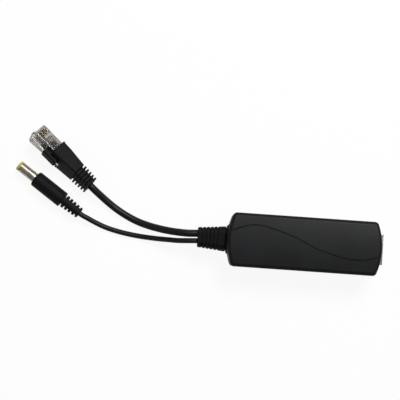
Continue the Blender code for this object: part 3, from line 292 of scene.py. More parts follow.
def add_node(tree, kind, inputs, **settings):
    """A node with its settings; each input is a value, or a link given as (node, output)."""
    made = tree.nodes.new(kind)
    for name, value in settings.items():
        setattr(made, name, value)
    for socket, value in inputs.items():
        if isinstance(value, tuple) and isinstance(value[0], bpy.types.Node):
            tree.links.new(value[0].outputs[value[1]], made.inputs[socket])
        else:
            made.inputs[socket].default_value = value
    return made


def start_finish(name, **constants):
    """A new Principled material, with the sockets that are the same all over already set."""
    made = bpy.data.materials.new(name)
    made.use_nodes = True
    shader = made.node_tree.nodes["Principled BSDF"]
    for socket, value in constants.items():
        shader.inputs[socket.replace("_", " ").title().replace("Ior", "IOR")].default_value = value
    return made, made.node_tree, shader


def patches(tree, size, detail=2.0, stretch=(1, 1, 1), roughness=0.5, turn=0.0):
    """Random patches of light and dark, about one size in metres and longer by a stretch along
    axes that are turned about Z by some degrees."""
    place = add_node(tree, "ShaderNodeTexCoord", {})
    mapped = add_node(tree, "ShaderNodeMapping",
                      {"Vector": (place, "Object"), "Scale": stretch,
                       "Rotation": (0, 0, math.radians(turn))}, vector_type="TEXTURE")
    return add_node(tree, "ShaderNodeTexNoise", {"Vector": (mapped, "Vector"), "Scale": 1 / size,
                                                 "Detail": detail, "Roughness": roughness})


def lay_skin(tree, shader, shade, tones, marks, gloss, strength, depth, span=(0.3, 0.7)):
    """Gives a shader two tones by one pattern, over a span of it, and gloss and bump by another.
    Tones are hex codes or linear colours. Returns the nodes that make the tone and the gloss."""
    share = add_node(tree, "ShaderNodeMapRange", {"Value": shade, "From Min": span[0],
                                                  "From Max": span[1]})
    dark, light = (linear(tone) if isinstance(tone, str) else tone for tone in tones)
    colour = add_node(tree, "ShaderNodeMix", {0: (share, 0), 6: (*dark, 1), 7: (*light, 1)},
                      data_type="RGBA")
    worn = add_node(tree, "ShaderNodeMapRange", {"Value": marks, "From Min": 0.3, "From Max": 0.7,
                                                 "To Min": gloss[0], "To Max": gloss[1]})
    bump = add_node(tree, "ShaderNodeBump", {"Strength": strength, "Distance": depth,
                                             "Height": marks})
    for socket, source in (("Base Color", colour.outputs[2]), ("Roughness", worn.outputs[0]),
                           ("Normal", bump.outputs[0])):
        tree.links.new(source, shader.inputs[socket])
    return colour, worn


def moulded(name, dark, light, gloss, grain, depth, cloud=9 * MM, **constants):
    """A moulded plastic: two tones in soft clouds, and a grain that breaks up its shine."""
    made, tree, shader = start_finish(name, **constants)
    tooth = patches(tree, grain, roughness=0.6)
    both = add_node(tree, "ShaderNodeMix",
                    {0: 0.35, 2: (patches(tree, cloud, 3.0), 0), 3: (tooth, 0)})
    lay_skin(tree, shader, (both, 0), (dark, light), (tooth, 0), gloss, 0.5, depth)
    return made


def plated(name, dull, bright, gloss, marks, stretch, depth=0.01 * MM, turn=0.0):
    """A plated metal: its tint wanders a little, and fine drawn marks streak its shine."""
    made, tree, shader = start_finish(name, metallic=1.0)
    lines = patches(tree, marks, 3.0, stretch, turn=turn)
    lay_skin(tree, shader, (patches(tree, 3 * MM), 0), (dull, bright), (lines, 0), gloss, 0.4,
             depth)
    return made


# ---------------------------------------------------------------- settings

def length_setting(name, description, low, high, default):
    """A size that a user may set: its limits are in mm, its default in metres."""
    return FloatProperty(name=name, description=description, unit="LENGTH", subtype="DISTANCE",
                         min=low * MM, max=high * MM, default=default)


def colour_setting(name, description, code):
    """A colour that a user may set, by default an sRGB hex colour."""
    return FloatVectorProperty(name=name, description=description, subtype="COLOR", size=3,
                               min=0, max=1, default=linear(code))


def power_setting(name, description, default):
    """A lamp's power in watts."""
    return FloatProperty(name=name, description=description, unit="POWER", min=0, max=50,
                         default=default)


class SplitterCaseSettings(bpy.types.PropertyGroup):
    colour: colour_setting("Case colour", "The ABS where it looks darkest", "#0a0b0c")
    light_colour: colour_setting("Case light colour", "The ABS where it looks lightest",
                                 "#141618")
    grain: length_setting("Grain", "Size of the moulded grain, drawn coarser than the real one",
                          0.1, 2, 0.45 * MM)
    edge_radius: length_setting("Edge radius", "Rounding of the top and bottom edges",
                                0.5, 2, 1.8 * MM)
    groove: length_setting("Groove width", "Width of the swept groove on the lid",
                           0.3, 1.5, 0.8 * MM)


class SplitterCableSettings(bpy.types.PropertyGroup):
    data_diameter: length_setting("Data cable", "Diameter of the data cable's jacket",
                                  3, 4.1, DATA_DIAMETER)
    power_diameter: length_setting("Power cable", "Diameter of the power cable's jacket",
                                   2, 3, POWER_DIAMETER)
    colour: colour_setting("Jacket colour", "PVC of the cables and boots", "#0c0d0e")


class SplitterPlugSettings(bpy.types.PropertyGroup):
    clear_colour: colour_setting("Clear plastic", "Tint of the network plug's body", "#c6c3bd")
    tip_colour: colour_setting("Tip insulator", "Ring at the tip of the DC plug", "#c2bf48")


class SplitterStageSettings(bpy.types.PropertyGroup):
    floor_colour: colour_setting("Floor colour", "The plain pale floor", "#f4f4f3")
    key_power: power_setting("Key lamp", "Power of the large soft lamp", 7.6)
    fill_power: power_setting("Fill lamp", "Power of the small lamp on the cable side", 0.25)
    focal_length: FloatProperty(
        name="Focal length", description="Lens of the camera above the splitter",
        unit="CAMERA", min=20, max=200, default=74.82)


# ---------------------------------------------------------------- finishes

def clear_polycarbonate(name):
    # Clear polycarbonate, injection moulded: see-through and glossy, with faint flow lines
    # that make what is behind it waver, and a slight grey tint that deepens in its edges.
    tint = tuple(bpy.context.scene.splitter_plugs.clear_colour)
    made, tree, shader = start_finish(name, ior=1.585, transmission_weight=0.94)
    flow = patches(tree, 1.6 * MM, stretch=(3, 1, 1), turn=FLOW_TURN)
    lay_skin(tree, shader, (flow, 0), ([c * 0.86 for c in tint], tint), (flow, 0), (0.04, 0.1),
             0.15, 0.02 * MM)
    return made


def case_abs(name):
    # ABS moulded in a spark-eroded tool: matt charcoal with an even fine grain. The real grain
    # is about 0.15 mm; it is drawn at the size set for it so that it shows.
    # The rounded edges are duller than the faces and carry a painted shade, a near-black colour,
    # where a normal leans away from all three axes and so the piece is round.
    case = bpy.context.scene.splitter_case
    made, tree, shader = start_finish(name, specular_ior_level=0.22)
    tooth = patches(tree, case.grain, 3.0, roughness=0.7)
    both = add_node(tree, "ShaderNodeMix",
                    {0: 0.5, 2: (patches(tree, 20 * MM), 0), 3: (tooth, 0)})
    face, grained = lay_skin(tree, shader, (both, 0), (case.colour, case.light_colour),
                             (tooth, 0), (0.38, 0.5), 0.6, 0.03 * MM, (0.39, 0.61))
    place = add_node(tree, "ShaderNodeTexCoord", {})
    size = add_node(tree, "ShaderNodeVectorMath", {0: (place, "Normal")}, operation="ABSOLUTE")
    sides = add_node(tree, "ShaderNodeSeparateXYZ", {0: (size, 0)})
    most = add_node(tree, "ShaderNodeMath", {0: (sides, 0), 1: (sides, 1)}, operation="MAXIMUM")
    most = add_node(tree, "ShaderNodeMath", {0: (most, 0), 1: (sides, 2)}, operation="MAXIMUM")
    flat = add_node(tree, "ShaderNodeMapRange", {"Value": (most, 0), "From Min": 0.95,
                                                 "From Max": 0.995})
    # Painted shade: the rounded edges get near-black #050505 in place of the faces' tones
    colour = add_node(tree, "ShaderNodeMix", {0: (flat, 0), 6: (*linear("#050505"), 1),
                                              7: (face, 2)}, data_type="RGBA")
    gloss = add_node(tree, "ShaderNodeMix", {0: (flat, 0), 2: 0.68, 3: (grained, 0)})
    tree.links.new(colour.outputs[2], shader.inputs["Base Color"])
    tree.links.new(gloss.outputs[0], shader.inputs["Roughness"])
    return made


def black_pvc(name, lighter, gloss, grain, depth, shine):
    # Black PVC in the colour set for the cables, and in a lighter tone of it.
    shade = tuple(bpy.context.scene.splitter_cables.colour)
    return moulded(name, shade, [c * lighter for c in shade], gloss, grain, depth,
                   specular_ior_level=shine)


def tip_nylon(name):
    # Yellow nylon 66 ring: a little waxy, with a duller moulding skin.
    shade = tuple(bpy.context.scene.splitter_plugs.tip_colour)
    return moulded(name, [c * 0.8 for c in shade], shade, (0.35, 0.5), 0.3 * MM, 0.01 * MM,
                   subsurface_weight=0.1, subsurface_scale=0.5 * MM)


def board_laminate(name):
    # Glass-epoxy laminate under green solder mask: glossy, with its cloth of about 0.6 mm a
    # thread faintly raised.
    made, tree, shader = start_finish(name, coat_weight=0.3, coat_roughness=0.15)
    place = add_node(tree, "ShaderNodeTexCoord", {})
    weave = add_node(tree, "ShaderNodeTexChecker", {"Vector": (place, "Object"),
                                                    "Scale": 1 / (0.6 * MM)})
    lay_skin(tree, shader, (patches(tree, 6 * MM), 0), ("#1d5232", "#2f7447"), (weave, 1),
             (0.32, 0.42), 0.2, 0.02 * MM, (0, 1))
    return made


def insulation(name, shade):
    # Extruded PVC insulation on a thin wire: even, waxy colour with light handling marks.
    colour = linear(shade)
    return moulded(name, [c * 0.75 for c in colour], colour, (0.35, 0.5), 0.5 * MM, 0.01 * MM,
                   cloud=3 * MM)


# Each finish: what makes it, and that function's values after the name
FINISHES = {
    "clear polycarbonate": (clear_polycarbonate,),
    "grained ABS": (case_abs,),
    "yellow nylon": (tip_nylon,),
    "board laminate": (board_laminate,),
    # Soft PVC moulded over the cables: black, satin where the tool was polished.
    "soft PVC": (black_pvc, 1.5, (0.5, 0.64), 0.5 * MM, 0.02 * MM, 0.1),
    # Extruded PVC jacket: black with a soft even highlight and slight waviness from the pairs.
    "jacket PVC": (black_pvc, 1.4, (0.38, 0.48), 1.6 * MM, 0.03 * MM, 0.22),
    # Bright nickel over drawn brass or steel: silvery, slightly warm, with fine drawn marks.
    "nickel plate": (plated, "#a9a69f", "#d8d5cd", (0.2, 0.34), 0.5 * MM, (5, 1, 1)),
    # Nickel over turned brass, dulled by plugging: pale and warm, one broad soft highlight
    # along it, and fine scratches the way it slides.
    "satin nickel": (plated, "#938d82", "#c3bcae", (0.3, 0.38), 0.3 * MM, (12, 1, 1),
                     0.01 * MM, POWER_PLUG_TURN[2]),
    # Thin gold over phosphor bronze: warm and half bright, browner where the gold is thin.
    "gold plate": (plated, "#57493a", "#8d7a60", (0.3, 0.45), 0.4 * MM, (3, 1, 1)),
    # Enamelled copper wire wound in layers: orange brown, its turns seen as fine level lines.
    "enamelled copper": (plated, "#8a4a24", "#c27a45", (0.25, 0.4), 0.5 * MM, (20, 20, 1),
                         0.08 * MM),
    # Glass-filled nylon: black with the fine uneven skin that the fibres leave.
    "black nylon": (moulded, "#141416", "#26272a", (0.4, 0.6), 0.3 * MM, 0.02 * MM),
    # Sintered manganese-zinc ferrite: dark grey ceramic, matt and finely pitted.
    "ferrite": (moulded, "#2e2d2c", "#4a4846", (0.55, 0.8), 0.35 * MM, 0.05 * MM),
    # Polyester tape wrapped round the winding: yellow, glossy, wrinkled along its laps.
    "winding tape": (moulded, "#b8952c", "#dcbc48", (0.22, 0.4), 1.4 * MM, 0.1 * MM),
    # Transfer-moulded epoxy: near-black, matt, finely speckled by its silica filler.
    "chip epoxy": (moulded, "#161618", "#29292c", (0.5, 0.72), 0.25 * MM, 0.02 * MM),
    # Shrunk PVC sleeve on the can: dark blue and smooth, with soft shrink ripples.
    "capacitor sleeve": (moulded, "#171b28", "#262d40", (0.22, 0.34), 2.5 * MM, 0.08 * MM),
    "white insulation": (insulation, "#c9c4b8"),
    "orange insulation": (insulation, "#d67424"),
    "green insulation": (insulation, "#2a8042"),
    "blue insulation": (insulation, "#2c54a8"),
    "brown insulation": (insulation, "#6a5444"),
    "red insulation": (insulation, "#b0221f"),
    "black insulation": (insulation, "#1c1c1c"),
}


def finish(name):
    """One of the finishes, made the first time it is asked for."""
    maker, *values = FINISHES[name]
    return bpy.data.materials.get(name) or maker(name, *values)


def dress(node, finish_name):
    """Gives a CAD node whose shape is right its finish."""
    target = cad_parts[node]
    if not target.data.materials:
        target.data.materials.append(None)
    for slot in target.material_slots:
        slot.link = "OBJECT"
        slot.material = finish(finish_name)


# ---------------------------------------------------------------- shapes

def section(bm, place, size, corner, steps):
    """One flat face across X with round corners; returns its edges."""
    verts = bmesh.ops.create_grid(bm, x_segments=1, y_segments=1, size=0.5)["verts"]
    bmesh.ops.scale(bm, vec=(*size, 1), verts=verts)
    bmesh.ops.bevel(bm, geom=verts, offset=corner, offset_type="OFFSET", segments=steps,
                    profile=0.5, affect="VERTICES", material=-1)
    upright = Matrix(((0, 0, 1, place), (1, 0, 0, 0), (0, 1, 0, 0), (0, 0, 0, 1)))
    bmesh.ops.transform(bm, matrix=upright, verts=bm.verts)
    return list(bm.edges)


def swept(stations, corner, steps=6):
    """A solid along X: a section with round corners, scaled to each station's size, each given
    as (place, (width, height))."""
    bm = bmesh.new()
    place, size = stations[0]
    edges = section(bm, place, size, corner, steps)
    for next_place, next_size in stations[1:]:
        raised = bmesh.ops.extrude_edge_only(bm, edges=edges)["geom"]
        verts = [item for item in raised if isinstance(item, bmesh.types.BMVert)]
        fresh = set(verts)
        edges = [item for item in raised if isinstance(item, bmesh.types.BMEdge)
                 and fresh.issuperset(item.verts)]
        ratio = (1, next_size[0] / size[0], next_size[1] / size[1])
        bmesh.ops.scale(bm, vec=ratio, verts=verts)
        bmesh.ops.translate(bm, vec=(next_place - place, 0, 0), verts=verts)
        place, size = next_place, next_size
    bmesh.ops.contextual_create(bm, geom=edges)
    bmesh.ops.recalc_face_normals(bm, faces=bm.faces)
    return bm


def turned(profile, steps=64):
    """A solid turned about X from (place, radius) points down its outside."""
    bm = bmesh.new()
    verts = [bm.verts.new((place, 0, radius)) for place, radius in profile]
    edges = [bm.edges.new((verts[index - 1], verts[index])) for index in range(len(verts))]
    bmesh.ops.spin(bm, geom=verts + edges, cent=(0, 0, 0), axis=(1, 0, 0), angle=2 * math.pi,
                   steps=steps, use_merge=True)
    bmesh.ops.recalc_face_normals(bm, faces=bm.faces)
    return bm


def block(low, high, radius=0.0, segments=3):
    """A box between two corners, its edges rounded."""
    bm = bmesh.new()
    bmesh.ops.create_cube(bm, size=1.0)
    low, high = Vector(low), Vector(high)
    bmesh.ops.scale(bm, vec=high - low, verts=bm.verts)
    bmesh.ops.translate(bm, vec=(high + low) / 2, verts=bm.verts)
    if radius > 0:
        soften(bm, radius, segments)
    return bm


def rod(foot, length, diameter, steps=32):
    """A round rod that starts at its foot and runs along +X."""
    bm = bmesh.new()
    bmesh.ops.create_cone(bm, cap_ends=True, segments=steps, radius1=diameter / 2,
                          radius2=diameter / 2, depth=length)
    bmesh.ops.rotate(bm, cent=(0, 0, 0), matrix=Matrix.Rotation(math.pi / 2, 3, "Y"),
                     verts=bm.verts)
    bmesh.ops.translate(bm, vec=Vector(foot) + Vector((length / 2, 0, 0)), verts=bm.verts)
    return bm


def prism(outline, low, high):
    """A flat outline in the XZ plane, extruded along Y."""
    bm = bmesh.new()
    verts = [bm.verts.new((x, low, z)) for x, z in outline]
    edges = [bm.edges.new((verts[index - 1], verts[index])) for index in range(len(verts))]
    bmesh.ops.contextual_create(bm, geom=edges)
    raised = bmesh.ops.extrude_face_region(bm, geom=bm.faces[:])["geom"]
    moved = [item for item in raised if isinstance(item, bmesh.types.BMVert)]
    bmesh.ops.translate(bm, vec=(0, high - low, 0), verts=moved)
    bmesh.ops.recalc_face_normals(bm, faces=bm.faces)
    return bm


def soften(bm, radius, segments=2, angle=35, chosen=None):
    """Rounds the edges that are sharper than an angle, or those of them that are chosen."""
    sharp = [edge for edge in bm.edges if edge.is_manifold
             and edge.calc_face_angle() > math.radians(angle)
             and (chosen is None or chosen(edge))]
    bmesh.ops.bevel(bm, geom=sharp, offset=radius, offset_type="OFFSET", segments=segments,
                    profile=0.5, affect="EDGES", material=-1, clamp_overlap=True)
    return bm


def new_object(name, data):
    made = bpy.data.objects.new(name, data)
    bpy.context.scene.collection.objects.link(made)
    return made


def mesh_object(name, bm):
    """An object with a bmesh's shape; the bmesh is used up."""
    mesh = bpy.data.meshes.new(name)
    bm.to_mesh(mesh)
    bm.free()
    return new_object(name, mesh)


def cord(name, points, diameter, around, along):
    """A round curve object that runs smoothly through points."""
    curve = bpy.data.curves.new(name, "CURVE")
    curve.dimensions = "3D"
    curve.bevel_depth = diameter / 2
    curve.bevel_resolution = around
    curve.resolution_u = along
    curve.use_fill_caps = True
    spline = curve.splines.new("BEZIER")
    spline.bezier_points.add(len(points) - 1)
    for knot, point in zip(spline.bezier_points, points):
        knot.co = point
        knot.handle_left_type = knot.handle_right_type = "AUTO"
    return new_object(name, curve)


def evaluated(source):
    """A bmesh of an object with its modifiers, or its curve's bevel, applied."""
    bpy.context.view_layer.update()
    mesh = bpy.data.meshes.new_from_object(
        source.evaluated_get(bpy.context.evaluated_depsgraph_get()))
    bm = bmesh.new()
    bm.from_mesh(mesh)
    bpy.data.meshes.remove(mesh)
    return bm


def add(solid):
    """A Boolean step that joins a solid on."""
    return "UNION", solid


def cut(solid):
    """A Boolean step that takes a solid away."""
    return "DIFFERENCE", solid


def combine(base, *steps):
    """A solid after its Boolean steps, each given as (operation, solid)."""
    target = mesh_object("passing", base)
    used = [target]
    for operation, other in steps:
        step = target.modifiers.new("step", "BOOLEAN")
        step.operation = operation
        step.solver = "EXACT"
        step.object = mesh_object("passing", other)
        used.append(step.object)
    bm = evaluated(target)
    for item in used:
        mesh = item.data
        bpy.data.objects.remove(item, do_unlink=True)
        bpy.data.meshes.remove(mesh)
    return bm


def seat(made, slot, *nodes):
    """Lets a piece ride on the splitter in the place of CAD nodes. Its slot is not used."""
    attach(made, "root")
    if nodes:
        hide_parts(*nodes)


def add_piece(name, bm, finish_name, slot, nodes=(), place=CASE_MIDDLE):
    """A finished piece: put in its place, smooth but for its sharp edges, and seated."""
    bmesh.ops.transform(bm, matrix=place, verts=bm.verts)
    made = mesh_object(name, bm)
    made.data.shade_smooth()
    made.data.set_sharp_from_angle(angle=math.radians(35))
    made.data.materials.append(finish(finish_name))
    even = made.modifiers.new("even_shading", "WEIGHTED_NORMAL")
    even.keep_sharp = True
    seat(made, slot, *nodes)


def between(first, last, share):
    """A size part of the way from one to another."""
    return tuple(a + (b - a) * share for a, b in zip(first, last))


def grown(size, by):
    """A size with the same added to each of its sides."""
    return tuple(side + by for side in size)


# ---------------------------------------------------------------- the stage

def studio_floor():
    # Seamless white card: matt and even. To the camera, and in gloss and glass, it is mostly
    # a plain white, and keeps a part of its own light so that the shadow stays.
    made, tree, shader = start_finish("matt card", roughness=0.9)
    colour = tuple(bpy.context.scene.splitter_stage.floor_colour)
    tone = add_node(tree, "ShaderNodeMix", {
        0: (patches(tree, 0.8 * MM), 0), 6: (*(c * 0.98 for c in colour), 1), 7: (*colour, 1)},
        data_type="RGBA")
    tree.links.new(tone.outputs[2], shader.inputs["Base Color"])
    rays = add_node(tree, "ShaderNodeLightPath", {})
    seen = add_node(tree, "ShaderNodeMath", {0: (rays, "Is Camera Ray"),
                                             1: (rays, "Is Glossy Ray")}, operation="ADD")
    seen = add_node(tree, "ShaderNodeMath", {0: (seen, 0), 1: (rays, "Is Transmission Ray")},
                    operation="ADD", use_clamp=True)
    share = add_node(tree, "ShaderNodeMath", {0: (seen, 0), 1: FLOOR_WHITE}, operation="MULTIPLY")
    white = add_node(tree, "ShaderNodeEmission", {"Strength": 1.0})
    both = add_node(tree, "ShaderNodeMixShader", {0: (share, 0), 1: (shader, 0), 2: (white, 0)})
    tree.links.new(both.outputs[0], tree.nodes["Material Output"].inputs["Surface"])
    return made


def add_lamp(name, place, aim, side, power):
    """A soft square lamp that hangs at its place and points at its aim."""
    light = bpy.data.lights.new(name, "AREA")
    light.size = side
    light.energy = power
    made = new_object(name, light)
    made.location = place
    made.rotation_euler = (Vector(aim) - Vector(place)).to_track_quat("-Z", "Y").to_euler()


class SPLITTER_OT_stage(bpy.types.Operator):
    """Lay the floor, hang the lamps and set the camera above the splitter"""
    bl_idname = "splitter.stage"
    bl_label = "Stage"

    def execute(self, context):
        scene = context.scene
        stage = scene.splitter_stage
        bm = bmesh.new()
        bmesh.ops.create_grid(bm, x_segments=4, y_segments=4, size=FLOOR_SIDE / 2)
        floor = mesh_object("floor", bm)
        floor.data.materials.append(studio_floor())
        add_lamp("key_lamp", *KEY_LAMP, stage.key_power)
        add_lamp("fill_lamp", *FILL_LAMP, stage.fill_power)

        world = bpy.data.worlds.new("pale studio")
        world.use_nodes = True
        tree = world.node_tree
        soft = tree.nodes["Background"]
        soft.inputs["Color"].default_value = (1, 1, 1, 1)
        soft.inputs["Strength"].default_value = SKY
        white = add_node(tree, "ShaderNodeBackground", {"Color": (1, 1, 1, 1), "Strength": 1.0})
        rays = add_node(tree, "ShaderNodeLightPath", {})
        both = add_node(tree, "ShaderNodeMixShader",
                        {0: (rays, "Is Camera Ray"), 1: (soft, 0), 2: (white, 0)})
        tree.links.new(both.outputs[0], tree.nodes["World Output"].inputs["Surface"])
        scene.world = world

        ahead = (CAMERA_AIM - CAMERA_PLACE).normalized()
        right = Vector((math.cos(CAMERA_ROLL), math.sin(CAMERA_ROLL), 0))
        right = (right - ahead * right.dot(ahead)).normalized()
        turn = Matrix((right, right.cross(ahead), -ahead)).transposed()
        lens = bpy.data.cameras.new("camera")
        lens.lens = stage.focal_length
        lens.sensor_width = 36
        lens.clip_start = 0.01
        camera = new_object("camera", lens)
        camera.matrix_world = Matrix.Translation(CAMERA_PLACE) @ turn.to_4x4()
        scene.camera = camera
        scene.view_settings.view_transform = "Standard"
        return {"FINISHED"}


# ---------------------------------------------------------------- the case

def case_block(inset, low, high, rims=(0.0, 0.0), arc=16, segments=6):
    """A solid with the case's outline seen from above, set in by a distance: straight sides,
    bowed ends and round corners. Its lower and upper rims are rounded by the radii given."""
    bm = bmesh.new()
    half_width = HALF_WIDTH - inset
    radius = BOW_RADIUS - inset
    centre = Vector((HALF_LENGTH - BOW_RADIUS, 0, 0))
    swing = math.asin(half_width / radius)
    start = bm.verts.new((centre.x + radius * math.cos(swing), -half_width, low))
    bmesh.ops.spin(bm, geom=[start], cent=centre, axis=(0, 0, 1), angle=2 * swing, steps=arc,
                   use_merge=False)
    bmesh.ops.mirror(bm, geom=bm.verts[:] + bm.edges[:], merge_dist=-1, axis="X")
    ends = [vert for vert in bm.verts if len(vert.link_edges) == 1]
    for side in (-1, 1):
        bm.edges.new([vert for vert in ends if vert.co.y * side > 0])
    bmesh.ops.contextual_create(bm, geom=bm.edges[:])
    raised = bmesh.ops.extrude_face_region(bm, geom=bm.faces[:])["geom"]
    top = [item for item in raised if isinstance(item, bmesh.types.BMVert)]
    bmesh.ops.translate(bm, vec=(0, 0, high - low), verts=top)
    bmesh.ops.recalc_face_normals(bm, faces=bm.faces)

    corner = max(CORNER_RADIUS - inset, 0) * math.tan((math.pi / 2 - swing) / 2)
    if corner > 0:
        soften(bm, corner, segments, 30, lambda edge: abs(
            edge.verts[0].co.z - edge.verts[1].co.z) > (high - low) / 2)
    for level, size in ((low, rims[0]), (high, rims[1])):
        if size > 0:
            soften(bm, size, segments if size > SEAM_ROUND else 2, 60, lambda edge: all(
                abs(vert.co.z - level) < HAIR for vert in edge.verts))
    return bm


def sweep_cutter(width):
    """A round bar along the swept line on the lid."""
    line = [(x * HALF_LENGTH, y * HALF_WIDTH, CASE_HEIGHT) for x, y in SWEEP]
    source = cord("sweep", line, width, 3, 10)
    bm = evaluated(source)
    curve = source.data
    bpy.data.objects.remove(source, do_unlink=True)
    bpy.data.curves.remove(curve)
    bmesh.ops.remove_doubles(bm, verts=bm.verts, dist=MERGE)
    bmesh.ops.recalc_face_normals(bm, faces=bm.faces)
    return bm


def crowned(bm):
    """The lid cut in long strips, its top falling gently to its long edges."""
    for step in range(1, CROWN_STRIPS):
        bmesh.ops.bisect_plane(bm, geom=bm.verts[:] + bm.edges[:] + bm.faces[:],
                               plane_co=(0, (2 * step / CROWN_STRIPS - 1) * HALF_WIDTH, 0),
                               plane_no=(0, 1, 0))
    for vert in bm.verts:
        if vert.co.z > CASE_HEIGHT - CROWN_DEPTH:
            vert.co.z -= CROWN * (vert.co.y / HALF_WIDTH) ** 2
    return bm


def lift(bm, height):
    """A solid raised to a height."""
    bmesh.ops.translate(bm, vec=(0, 0, height), verts=bm.verts)
    return bm


def collar_part(low, high):
    """The sloping seat round the boot's hole, between two heights."""
    root = grown(COLLAR, COLLAR_SPREAD)
    collar = lift(swept([(COLLAR_FACE, COLLAR), (COLLAR_FACE + COLLAR_SLOPE, root),
                         (COLLAR_FACE + COLLAR_DEPTH, root)], CORNER_RADIUS), MID_HEIGHT)
    soften(collar, COLLAR_ROUND, 2, 25, lambda edge: max(
        vert.co.x for vert in edge.verts) < COLLAR_FACE + COLLAR_SLOPE / 2)
    part = block((COLLAR_FACE - SEAT, -CASE_WIDTH, low),
                 (COLLAR_FACE + COLLAR_DEPTH + SEAT, CASE_WIDTH, high))
    return combine(collar, ("INTERSECT", part))


def end_holes():
    """The cutters for the boot's neck and for the socket."""
    neck = grown(BOOT_NECK, 2 * SEAT)
    hole = lift(swept([(BOOT_END, neck), (FLANGE_BACK, neck)], neck[1] * BOOT_CORNER),
                MID_HEIGHT)
    socket = block((JACK_BACK, -JACK_WIDTH / 2 - SEAT, JACK_FLOOR - SEAT),
                   (JACK_FRONT + SEAT, JACK_WIDTH / 2 + SEAT, JACK_TOP + SEAT))
    return cut(hole), cut(socket)


class SPLITTER_OT_case(bpy.types.Operator):
    """Make the tray and the lid with its swept groove"""
    bl_idname = "splitter.case"
    bl_label = "Case shells"

    def execute(self, context):
        case = context.scene.splitter_case
        rim = case.edge_radius
        lip = CASE_WALL - LIP_THICKNESS
        lid_floor = SEAM_HEIGHT + SEAM_GAP
        tray = combine(
            case_block(0, 0, SEAM_HEIGHT, (rim, SEAM_ROUND)),
            add(case_block(lip, rim, SEAM_HEIGHT + LIP_HEIGHT)),
            cut(case_block(CASE_WALL, CASE_WALL, CASE_HEIGHT)),
            add(collar_part(0, SEAM_HEIGHT)), *end_holes())
        add_piece("tray", tray, "grained ABS", "case_abs", ["lower_case"])
        lid = combine(
            case_block(0, lid_floor, CASE_HEIGHT, (SEAM_ROUND, rim)),
            cut(case_block(CASE_WALL, 0, CASE_HEIGHT - CASE_WALL)),
            add(collar_part(lid_floor, CASE_HEIGHT)),
            cut(case_block(lip - SEAM_GAP, 0, SEAM_HEIGHT + LIP_HEIGHT + SEAM_GAP)),
            *end_holes(), cut(sweep_cutter(case.groove)))
        soften(lid, GROOVE_ROUND, 2, 40, lambda edge: all(
            abs(vert.co.z - CASE_HEIGHT) < HAIR for vert in edge.verts))
        add_piece("lid", crowned(lid), "grained ABS", "case_abs", ["upper_case"])
        return {"FINISHED"}


# ---------------------------------------------------------------- the socket and the board

class SPLITTER_OT_socket(bpy.types.Operator):
    """Make the socket's shield can and finish its body and contacts"""
    bl_idname = "splitter.socket"
    bl_label = "Network socket"

    def execute(self, context):
        half = JACK_WIDTH / 2
        window = SOCKET_WIDTH / 2 + 2 * FINE_FIT
        can = combine(
            block((JACK_BACK, -half, JACK_FLOOR), (JACK_FRONT, half, JACK_TOP), SHIELD_ROUND),
            cut(block((JACK_BACK + SHIELD_SHEET, SHIELD_SHEET - half, JACK_FLOOR - SEAT),
                      (JACK_FRONT - SHIELD_SHEET, half - SHIELD_SHEET,
                       JACK_TOP - SHIELD_SHEET))),
            cut(block((JACK_FRONT - MM, -window, SOCKET_LOW - KEYWAY_DROP - FINE_FIT),
                      (JACK_FRONT + SEAT, window, SOCKET_HIGH + FINE_FIT))))
        add_piece("shield_can", can, "nickel plate", "nickel_plate", ["jack_shield"])
        dress("jack_body", "black nylon")
        for index in range(BLADES):
            dress(f"jack_contact_{index + 1}", "gold plate")
        return {"FINISHED"}


class SPLITTER_OT_board(bpy.types.Operator):
    """Finish the circuit board, its parts and the wires that reach it"""
    bl_idname = "splitter.board"
    bl_label = "Circuit board"

    def execute(self, context):
        jobs = {
            "board laminate": "circuit_board",
            "ferrite": "transformer_core",
            "winding tape": "transformer_winding",
            "capacitor sleeve": "input_capacitor output_capacitor",
            "enamelled copper": "output_inductor",
            "chip epoxy": "bridge_rectifier_1 bridge_rectifier_2 controller_chip "
                          "switching_transistor optocoupler rectifier_diode line_transformer",
            "orange insulation": "pair_lead_1",
            "green insulation": "pair_lead_2",
            "blue insulation": "pair_lead_3",
            "brown insulation": "pair_lead_4",
            "red insulation": "dc_lead_1",
            "black insulation": "dc_lead_2",
        }
        for finish_name, nodes in jobs.items():
            for node in nodes.split():
                dress(node, finish_name)
        return {"FINISHED"}


# ---------------------------------------------------------------- boots

